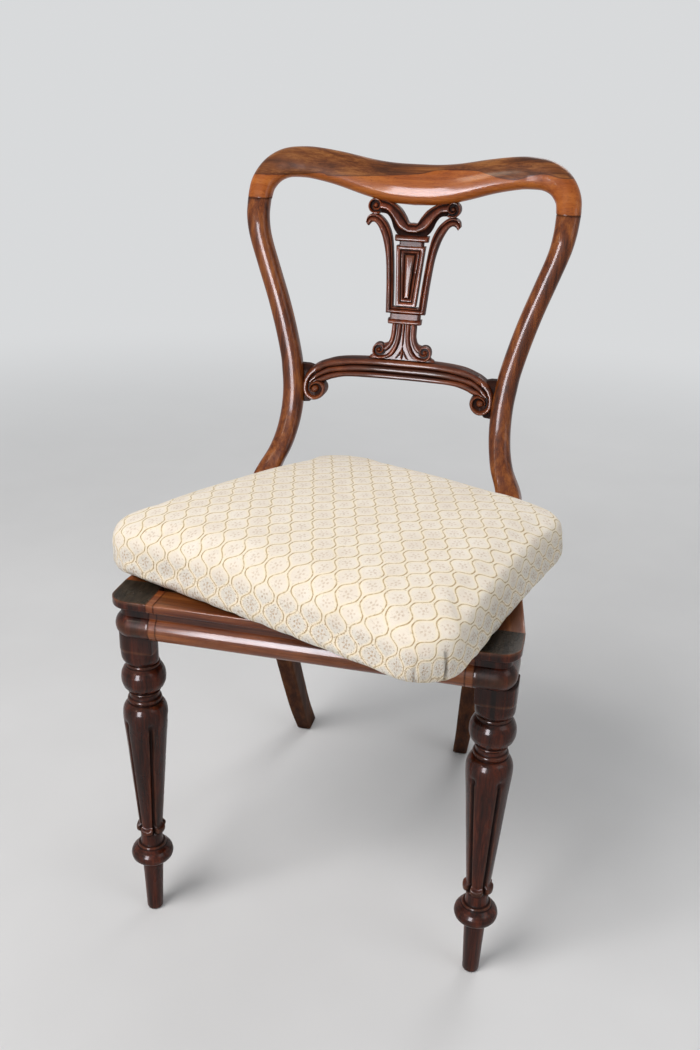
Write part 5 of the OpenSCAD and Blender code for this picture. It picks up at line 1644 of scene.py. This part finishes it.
class Cloths(Enum):
    """Every cloth and metal on the chair."""

    COVER = Damask()
    LINING = Fabric("black_lining", srgb(16, 15, 15), srgb(46, 42, 40), 1300.0)
    WEBBING = Fabric("jute_webbing", srgb(112, 84, 50), srgb(180, 148, 104), 620.0)
    HESSIAN = Fabric("hessian_weave", srgb(120, 92, 56), srgb(190, 158, 112), 480.0)
    STEEL = Metal("dull_steel", srgb(176, 170, 160), srgb(92, 74, 60))


@dataclass(frozen=True)
class Fold:
    """A fold at a corner, a Gaussian groove: its place, lean, width, fading heights, depth and painted
    shade.
    """

    place: float
    lean: float
    width: float
    low: float
    high: float
    push: float
    dark: float

    def felt(self, arc: Array, z: Array) -> Array:
        """How much of the fold there is at each distance round the corner and at each height."""
        away = (arc - self.place + self.lean * (z - 20)) / self.width
        return np.exp(-(away ** 2)) * (1 - ease(z, self.low, self.high))


FOLDS = (
    Fold(15.0, 0.05, 1.3, 40, 47, push=2.8, dark=1.0),
    Fold(-16.5, -0.04, 1.0, 32, 44, push=1.6, dark=0.6),
    *(Fold(place, 0.0, 2.2, 8, 30, push=0.8, dark=0.12) for place in (-7.0, 1.0, 8.0)))
FILLING = {
    "quality": 5, "mass": 0.3, "tension_stiffness": 15, "compression_stiffness": 15, "shear_stiffness": 5,
    "bending_stiffness": 6, "use_pressure": True, "uniform_pressure_force": 4, "vertex_group_mass": "held"}


@dataclass
class LooseSeat:
    """Upholstered seat: a padded cover over its bars, with black lining below, laid askew on the rails."""

    width: float = 453.0
    back_width: float = 368.0
    depth: float = 383.0
    side: float = 60.5
    crown: float = 8.0
    corner_fall: float = 10.0
    corner_reach: float = 88.0
    nudge: tuple = (-3.2, 0.6, 0.0)
    round: float = 46.0
    draw: float = 2.5
    roll: float = 8.8
    lift: float = 0.8
    turn: float = SEAT_TURN
    shift_x: float = -54.0
    shift_y: float = -14.5
    rest: float = 439.3
    bar_edge: float = 15.12
    bar_width: float = 45.96
    slack: float = -1.6
    cap: float = 5.0
    voxel: float = 5.0
    held_h: float = 4.0
    frames: int = 20
    cell_shift: tuple = (10.15, 7.55)
    askew: float = 0.03
    tack_step: float = 38.0
    tack_push: float = 1.6

    inward = np.array([[1, 1], [-1, 1], [-1, -1], [1, -1]])

    def corners(self, inset: float) -> Array:
        """Corners of the outline set in by a distance, from the left front round to the left back."""
        y = np.array([inset, inset, self.depth - inset, self.depth - inset])
        half = self.width / 2 + (self.back_width - self.width) / 2 * y / self.depth - inset
        return np.column_stack([half * np.array([-1, 1, 1, -1]), y])

    def outline(self, inset: float, arc: int = 12, run: int = 20) -> Array:
        """Rounded outline whose sides draw in by a half sine between the corners.

        Args:
            inset: Distance from the full outline.
            arc: Steps round each corner.
            run: Steps along each side.

        Returns:
            The outline's points.
        """
        r = max(self.round - inset, self.round / 4)
        corner = self.corners(inset)
        arcs = []
        for i in range(4):
            a = np.radians(np.linspace(0, 90, arc + 1) + (180, 270, 0, 90)[i])
            arcs.append(circle(*(corner[i] + self.inward[i] * r), r, a))
        parts = []
        t = np.linspace(0, 1, run + 1)[1:-1, None]
        for i in range(4):
            a, b = arcs[i][-1], arcs[(i + 1) % 4][0]
            way = (b - a) / np.linalg.norm(b - a)
            bow = np.array([-way[1], way[0]]) * self.draw * np.sin(math.pi * t)
            parts += [arcs[i], a + (b - a) * t + bow]
        return np.concatenate(parts)

    def form(self, slack: float) -> Skin:
        """Closed pad: flat below, a full side that rolls over, a crown that falls with f to the 2.6.

        Args:
            slack: How much smaller than the full size it is on every side.

        Returns:
            The pad's surface in its own coordinates.
        """
        top = self.side - slack * 0.4
        height = top - self.lift
        crown = self.crown - slack * 0.6
        rows = [(self.roll + slack, f, self.lift, 0.0) for f in (0.15, 0.4, 0.65, 0.85, 0.96)]
        side = [(1.0, 0.0), (0.72, 0.02), (0.35, 0.08), (0.12, 0.16), (0.02, 0.26), (-0.03, 0.40),
                (-0.04, 0.55), (0.0, 0.67), (0.10, 0.78), (0.27, 0.88), (0.52, 0.955)]
        rows += [(self.roll * s + slack, 1.0, self.lift + height * h, 0.0) for s, h in side]
        rows += [(self.roll * 0.5 + slack, f, top, f)
                 for f in (0.965, 0.93, 0.88, 0.82, 0.74, 0.66, 0.56, 0.46, 0.34, 0.22, 0.12, 0.04)]
        middle = np.array([0.0, self.depth / 2])
        rings = []
        for inset, share, z, f in rows:
            ring = middle + (self.outline(inset) - middle) * share
            rise = crown * (1 - f ** 2.6) if f else 0.0
            rings.append(np.column_stack([ring, np.full(len(ring), z + rise)]))
        return tube(np.stack(rings))

    def place(self, points: Array) -> Array:
        """Lays pad coordinates on the rails: turned clockwise, moved, from the origin, in metres."""
        a = math.radians(-self.turn)
        c, s = math.cos(a), math.sin(a)
        x = points[:, 0] * c - points[:, 1] * s + self.shift_x
        y = points[:, 0] * s + points[:, 1] * c + self.shift_y - SeatFramePlan.origin
        return np.column_stack([x, y, points[:, 2] + self.rest]) * MM

    def filled(self) -> bpy.types.Mesh:
        """Remeshes the slack form and lets cloth under pressure fill it, its foot held, its move capped.

        Returns:
            The filled and subdivided mesh, in pad coordinates in metres.
        """
        scene = bpy.context.scene
        start = self.form(self.slack)
        mesh = bpy.data.meshes.new("seat_form")
        faces = [f.tolist() for block in start.faces for f in block]
        mesh.from_pydata((start.points * MM).tolist(), [], faces)
        work = bpy.data.objects.new("seat_form", mesh)
        scene.collection.objects.link(work)
        remesh = work.modifiers.new("even", "REMESH")
        remesh.mode = "VOXEL"
        remesh.voxel_size = self.voxel * MM
        work.data = self.taken(work)
        before = self.read(work.data)
        group = work.vertex_groups.new(name="held")
        group.add(np.nonzero(before[:, 2] < self.held_h * MM)[0].tolist(), 1.0, "REPLACE")
        cloth = work.modifiers.new("fill", "CLOTH")
        for key, value in FILLING.items():
            setattr(cloth.settings, key, value)
        cloth.settings.effector_weights.gravity = 0
        cloth.collision_settings.use_collision = False
        for number in range(1, self.frames + 1):
            scene.frame_set(number)
        after = self.read(self.taken(work))
        move = after - before
        size = np.linalg.norm(move, axis=1, keepdims=True)
        limit = self.cap * MM
        capped = before + move * (limit * np.tanh(size / limit) / np.maximum(size, 1e-9))
        work.modifiers.clear()
        work.data.vertices.foreach_set("co", capped.astype(np.float32).ravel())
        work.data.update()
        scene.frame_set(1)
        log.info("seat cover filled, most movement %.1f mm", float(size.max() * 1000))
        finer = work.modifiers.new("finer", "SUBSURF")
        finer.levels = finer.render_levels = 1
        mesh = self.taken(work)
        bpy.data.objects.remove(work)
        return mesh

    def taken(self, work: bpy.types.Object) -> bpy.types.Mesh:
        """The object's mesh with its modifiers applied; the modifiers then come off."""
        view = bpy.context.evaluated_depsgraph_get()
        mesh = bpy.data.meshes.new_from_object(work.evaluated_get(view))
        if work.modifiers.get("fill") is None:
            work.modifiers.clear()
        return mesh

    def read(self, mesh: bpy.types.Mesh) -> Array:
        """The mesh's points."""
        points = np.empty(len(mesh.vertices) * 3, np.float32)
        mesh.vertices.foreach_get("co", points)
        return points.reshape(-1, 3).astype(float)

    def outwards(self, points: Array) -> tuple[Array, Array, Array]:
        """Which way is out at each point, from the corners' middles.

        A point's nearest place q on the four-sided field that joins the corners' middles gives the
        direction p - q. The distance past q less the corner radius tells how far it is from the edge.

        Args:
            points: Points in pad coordinates.

        Returns:
            Directions, distances from q, and the places q.
        """
        core = self.corners(0) + self.round * self.inward
        xy = points[:, :2]
        y = np.clip(xy[:, 1], core[0, 1], core[2, 1])
        share = (y - core[0, 1]) / (core[2, 1] - core[0, 1])
        half = core[1, 0] + (core[2, 0] - core[1, 0]) * share
        q = np.column_stack([np.clip(xy[:, 0], -half, half), y])
        away = xy - q
        far = np.linalg.norm(away, axis=1)
        return away / np.maximum(far, 1e-6)[:, None], far, q

    def tailored(self, points: Array) -> tuple[Array, Array, Array]:
        """Pulls the cover in at its tacks and folds it at the corners.

        Each corner has a deep fold and a shallow one on either side of its bisector, with finer ones
        between, which fade towards the top. They are Gaussian grooves in the distance round the corner.

        Args:
            points: Points in pad coordinates.

        Returns:
            The moved points, the painted shade of the folds and the foot, and the flank mark, where the
            finish paints shade.
        """
        way, far, q = self.outwards(points)
        z = points[:, 2]
        flank = ease(far, self.round * 0.55, self.round * 0.85) * ease(z, 1.0, 4.0)
        crease_shade = np.zeros(len(points))
        push = np.zeros(len(points))
        for x, y in ((1, 0), (-1, 0), (1, 1), (-1, 1)):
            bisector = math.atan2(1 if y else -1, x)
            near = (np.sign(q[:, 0]) == x) & ((q[:, 1] > self.depth / 2) == bool(y))
            angle = np.arctan2(way[:, 1], way[:, 0]) - bisector
            arc = (np.mod(angle + math.pi, 2 * math.pi) - math.pi) * self.round * (x if y == 0 else -x)
            felt = [(fold, fold.felt(arc, z) * near * flank) for fold in FOLDS]
            crease_shade = np.maximum(crease_shade, sum(fold.dark * share for fold, share in felt))
            push = push + sum(fold.push * share for fold, share in felt)
        run = np.arctan2(points[:, 1] - self.depth / 2, points[:, 0]) * 190
        tack = np.exp(-((np.mod(run, self.tack_step) - self.tack_step / 2) / 7) ** 2)
        push = push + self.tack_push * tack * (1 - ease(z, 3, 15)) * flank
        moved = points.copy()
        moved[:, :2] -= way * push[:, None]
        # A painted shadow line along the cover's foot, where it meets the rails.
        foot_shadow = 0.35 * (1 - ease(z, 0.9, 2.6)) * (far > self.round * 0.5)
        return moved, np.clip(crease_shade + foot_shadow, 0, 1), ease(-z, -46, -30) * (far > 8)

    def unrolled(self, points: Array) -> Array:
        """Cloth coordinates: level distances on the top, carried on outwards down the sides, in metres.

        The crossways threads lie a little askew: the way back grows with the way across.
        """
        way, far, _ = self.outwards(points)
        drop = np.maximum(self.side - 3 - points[:, 2], 0) * ease(far, 4, 30)
        flat = points[:, :2] + way * drop[:, None]
        across = flat[:, 0] - self.cell_shift[0]
        back = flat[:, 1] + self.askew * flat[:, 0] - self.cell_shift[1]
        return np.column_stack([across, back, np.zeros(len(points))]) * MM

    def fallen(self, points: Array) -> Array:
        """Lets the pad's top fall towards its corners, by a bell curve of the distance from each corner.

        Args:
            points: Points in pad coordinates.

        Returns:
            The points, lowered by a share that grows with their height to the power 1.2.
        """
        away = np.linalg.norm(points[:, None, :2] - self.corners(0)[None], axis=2)
        near = np.exp(-((away / self.corner_reach) ** 2)).max(axis=1)
        share = np.clip(points[:, 2] / self.side, 0.0, 1.1) ** 1.2
        return points - np.column_stack([0 * near, 0 * near, self.corner_fall * near * share])

    def build_cover(self, shop: Workshop) -> None:
        """Builds and dresses the padded cover."""
        mesh = self.filled()
        points = self.read(mesh) / MM
        points, crease_shade, side = self.tailored(points)
        for key, value in (("cloth", self.unrolled(points)), ("crease_shade", crease_shade), ("side", side)):
            mark_points(mesh, key, value)
        laid = self.place(self.fallen(points)) + np.array(self.nudge) * MM
        mesh.vertices.foreach_set("co", laid.astype(np.float32).ravel())
        mesh.polygons.foreach_set("use_smooth", np.ones(len(mesh.polygons), bool))
        mesh.update()
        mesh.materials.clear()
        mesh.materials.append(shop.finish(Cloths.COVER))
        cover = bpy.data.objects.new("seat_cover_padded", mesh)
        bpy.context.scene.collection.objects.link(cover)
        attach(cover, SEAT_BODY)
        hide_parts("seat_cover", "stuffing")
        log.info("seat cover: %d points", len(points))

    def build_lining(self, shop: Workshop) -> None:
        """Builds the black lining, a thin sheet stretched under the bars, with faint ripples."""
        inset = self.bar_edge + self.bar_width * 0.15
        edge = self.outline(inset)
        middle = np.array([0.0, self.depth / 2])
        share = np.linspace(1.0, 0.02, 34)
        rings = []
        for level, order in ((0.12, share[::-1]), (0.62, share)):
            flat = middle + (edge[None] - middle) * order[:, None, None]
            ripple = 0.09 * np.sin(flat[..., 0] / 11) * np.sin(flat[..., 1] / 13)
            rings.append(np.concatenate([flat, (level + ripple)[..., None]], -1))
        skin = tube(np.concatenate(rings))
        skin.points = self.place(skin.points) / MM
        skin.marks = {}
        made = shop.piece("seat_lining", skin, Cloths.LINING, SEAT_BODY, "bottom_cloth")

    def build(self, shop: Workshop) -> None:
        """Builds everything on the seat that replaces a CAD solid."""
        self.build_cover(shop)
        self.build_lining(shop)


# Frame pieces that stay, light, floor and camera

KEPT = {
    Finish.BACK: ("back_rail",),
    Finish.BEECH: (
        "front_left_brace", "front_right_brace", "back_left_brace", "back_right_brace", "crest_dowels",
        "seat_front_bar", "seat_back_bar", "seat_left_bar", "seat_right_bar", "seat_bar_dowels"),
    Cloths.STEEL: ("brace_screws", "cloth_tacks"),
    Cloths.WEBBING: ("lengthways_webbing", "crossways_webbing"),
    Cloths.HESSIAN: ("hessian",)}


def dress_kept(shop: Workshop) -> None:
    """Gives the frame's own solids that stay in view their finishes."""
    for kind, names in KEPT.items():
        material = shop.finish(kind)
        for name in names:
            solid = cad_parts[name]
            for slot in solid.material_slots:
                slot.material = material
            if not solid.material_slots:
                solid.data.materials.append(material)
            log.info("%s keeps its solid", name)


@dataclass
class Studio:
    """Pale studio: a broad floor that fades into the background, soft lights and an even sky."""

    pale: tuple = (0.69, 0.7, 0.71)
    floor_half: float = 9.0

    def build_world(self) -> None:
        """Even light, which the camera, mirrors and glass see as white."""
        world = bpy.data.worlds.new("studio_sky")
        bpy.context.scene.world = world
        world.use_nodes = True
        net = Net(world.node_tree)
        back = world.node_tree.nodes["Background"]
        path = net.node("ShaderNodeLightPath")
        seen = net.math("MAXIMUM", path.outputs["Is Camera Ray"], path.outputs["Is Glossy Ray"])
        seen = net.math("MAXIMUM", seen, path.outputs["Is Transmission Ray"])
        back.inputs["Color"].default_value = (*self.pale, 1.0)
        net.put(back.inputs["Strength"], net.between(seen, 0.0, 1.0, 0.46, 1.0))

    def build_floor(self) -> None:
        """Plain pale floor whose far parts fade into the sky's colour."""
        n = 48
        ring = np.concatenate([[0.0], np.geomspace(0.05, self.floor_half, 28)])
        turn = full_turn(n)
        x = ring[:, None] * np.cos(turn)
        y = ring[:, None] * np.sin(turn)
        points = np.stack([x, y, np.full_like(x, -0.0012)], -1).reshape(-1, 3)
        j, i = np.meshgrid(np.arange(len(ring) - 1), np.arange(n), indexing="ij")
        k = (i + 1) % n
        faces = np.stack([j * n + i, (j + 1) * n + i, (j + 1) * n + k, j * n + k], -1).reshape(-1, 4)
        mesh = bpy.data.meshes.new("studio_floor")
        mesh.from_pydata(points.tolist(), [], faces.tolist())
        mesh.update()
        made, net, shader = new_material("pale_floor")
        output = made.node_tree.nodes["Material Output"]
        place = net.node("ShaderNodeTexCoord").outputs["Object"]
        patch = net.noise(place, 3.0, 3.0)
        net.put(shader.inputs["Base Color"],
                net.ramp(patch, [(0.3, (0.70, 0.70, 0.70, 1)), (0.7, (0.74, 0.74, 0.74, 1))]))
        shader.inputs["Roughness"].default_value = 0.9
        shader.inputs["Specular IOR Level"].default_value = 0.1
        glow = net.node("ShaderNodeEmission")
        glow.inputs["Color"].default_value = (*self.pale, 1.0)
        blend = net.node("ShaderNodeMixShader")
        length = net.node("ShaderNodeVectorMath", operation="LENGTH")
        net.put(length.inputs[0], place)
        net.put(blend.inputs[0], net.between(length.outputs["Value"], 0.9, 3.2))
        net.put(blend.inputs[1], shader.outputs[0])
        net.put(blend.inputs[2], glow.outputs[0])
        net.put(output.inputs["Surface"], blend.outputs[0])
        mesh.materials.append(made)
        floor = bpy.data.objects.new("studio_floor", mesh)
        bpy.context.scene.collection.objects.link(floor)

    def build_light(self, name: str, place: tuple, aim: tuple, size: tuple, power: float, colour: tuple,
                    glossy: bool = True, diffuse: bool = True) -> None:
        """One soft light.

        Args:
            name: The light's name.
            place: Where it hangs.
            aim: The point that it faces.
            size: Its width and height.
            power: Its power in watts.
            colour: Its colour.
            glossy: Whether polished surfaces mirror it.
            diffuse: Whether it lights matt surfaces.
        """
        data = bpy.data.lights.new(name, "AREA")
        data.shape = "RECTANGLE"
        data.size, data.size_y = size
        data.energy = power
        data.color = colour
        lamp = bpy.data.objects.new(name, data)
        lamp.visible_glossy = glossy
        lamp.visible_diffuse = diffuse
        away = np.array(place, float) - np.array(aim, float)
        z = away / np.linalg.norm(away)
        x = np.cross([0.0, 0.0, 1.0], z)
        x /= np.linalg.norm(x)
        y = np.cross(z, x)
        lamp.matrix_world = posed(x, y, z, place)
        bpy.context.scene.collection.objects.link(lamp)

    def build(self) -> None:
        """Builds the sky, the floor and the lights."""
        self.build_world()
        self.build_floor()
        self.build_light("window_light", place=(-0.55, -2.3, 0.86), aim=(0, 0.1, 0.6), size=(0.66, 1.52),
                         power=94, colour=(0.97, 0.94, 1.0), diffuse=False)
        self.build_light("high_window", place=(-1.19, -1.9, 1.86), aim=(0, 0.1, 0.8), size=(0.13, 0.42),
                         power=2.4, colour=(1.0, 0.88, 0.7), diffuse=False)
        self.build_light("key_light", place=(-1.1, -1.6, 2.4), aim=(0, 0, 0.45), size=(1.4, 1.4), power=60,
                         colour=(1.0, 0.98, 0.97), glossy=False)
        self.build_light("fill_light", place=(1.9, -0.9, 1.6), aim=(0, 0, 0.4), size=(1.2, 1.2), power=7,
                         colour=(0.95, 0.97, 1.0))
        self.build_light("rim_light", place=(0.5, 2.0, 2.2), aim=(0, 0, 0.6), size=(1.2, 1.2), power=16,
                         colour=(1.0, 1.0, 1.0))


@dataclass
class PhotoCamera:
    """Camera at the photograph's viewpoint."""

    place: tuple = (0.2574, -1.1844, 0.9689)
    lens: float = 37.264
    yaw: float = 12.6296
    pitch: float = 22.8004
    roll: float = 1.8465

    def build(self) -> None:
        """Creates the camera from its three angles and makes it the scene's own."""
        yaw, pitch, roll = (math.radians(v) for v in (self.yaw, self.pitch, self.roll))
        right = np.array([math.cos(yaw), math.sin(yaw), 0.0])
        ahead = np.array([-math.sin(yaw) * math.cos(pitch), math.cos(yaw) * math.cos(pitch),
                          -math.sin(pitch)])
        down = np.cross(ahead, right)
        c, s = math.cos(roll), math.sin(roll)
        side = c * right - s * down
        below = s * right + c * down
        data = bpy.data.cameras.new("photo_camera")
        data.lens = self.lens
        data.sensor_width = 36.0
        data.sensor_fit = "AUTO"
        data.clip_start = 0.05
        data.clip_end = 60.0
        made = bpy.data.objects.new("photo_camera", data)
        made.matrix_world = posed(side, -below, -ahead, self.place)
        bpy.context.scene.collection.objects.link(made)
        bpy.context.scene.camera = made


def main() -> None:
    """Builds every piece."""
    logging.basicConfig(level=logging.INFO, format="%(name)s: %(message)s")
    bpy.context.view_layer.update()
    scene = bpy.context.scene
    scene.view_settings.view_transform = "Standard"
    PhotoCamera().build()
    Studio().build()
    shop = Workshop()
    plan = SeatFramePlan()
    for builder in (RailSet(plan), FrontLeg(plan), BackLeg(plan), CrestRail(plan), CrossRail(plan),
                    Splat(plan), LooseSeat()):
        builder.build(shop)
    dress_kept(shop)


if __name__ == "__main__":
    main()
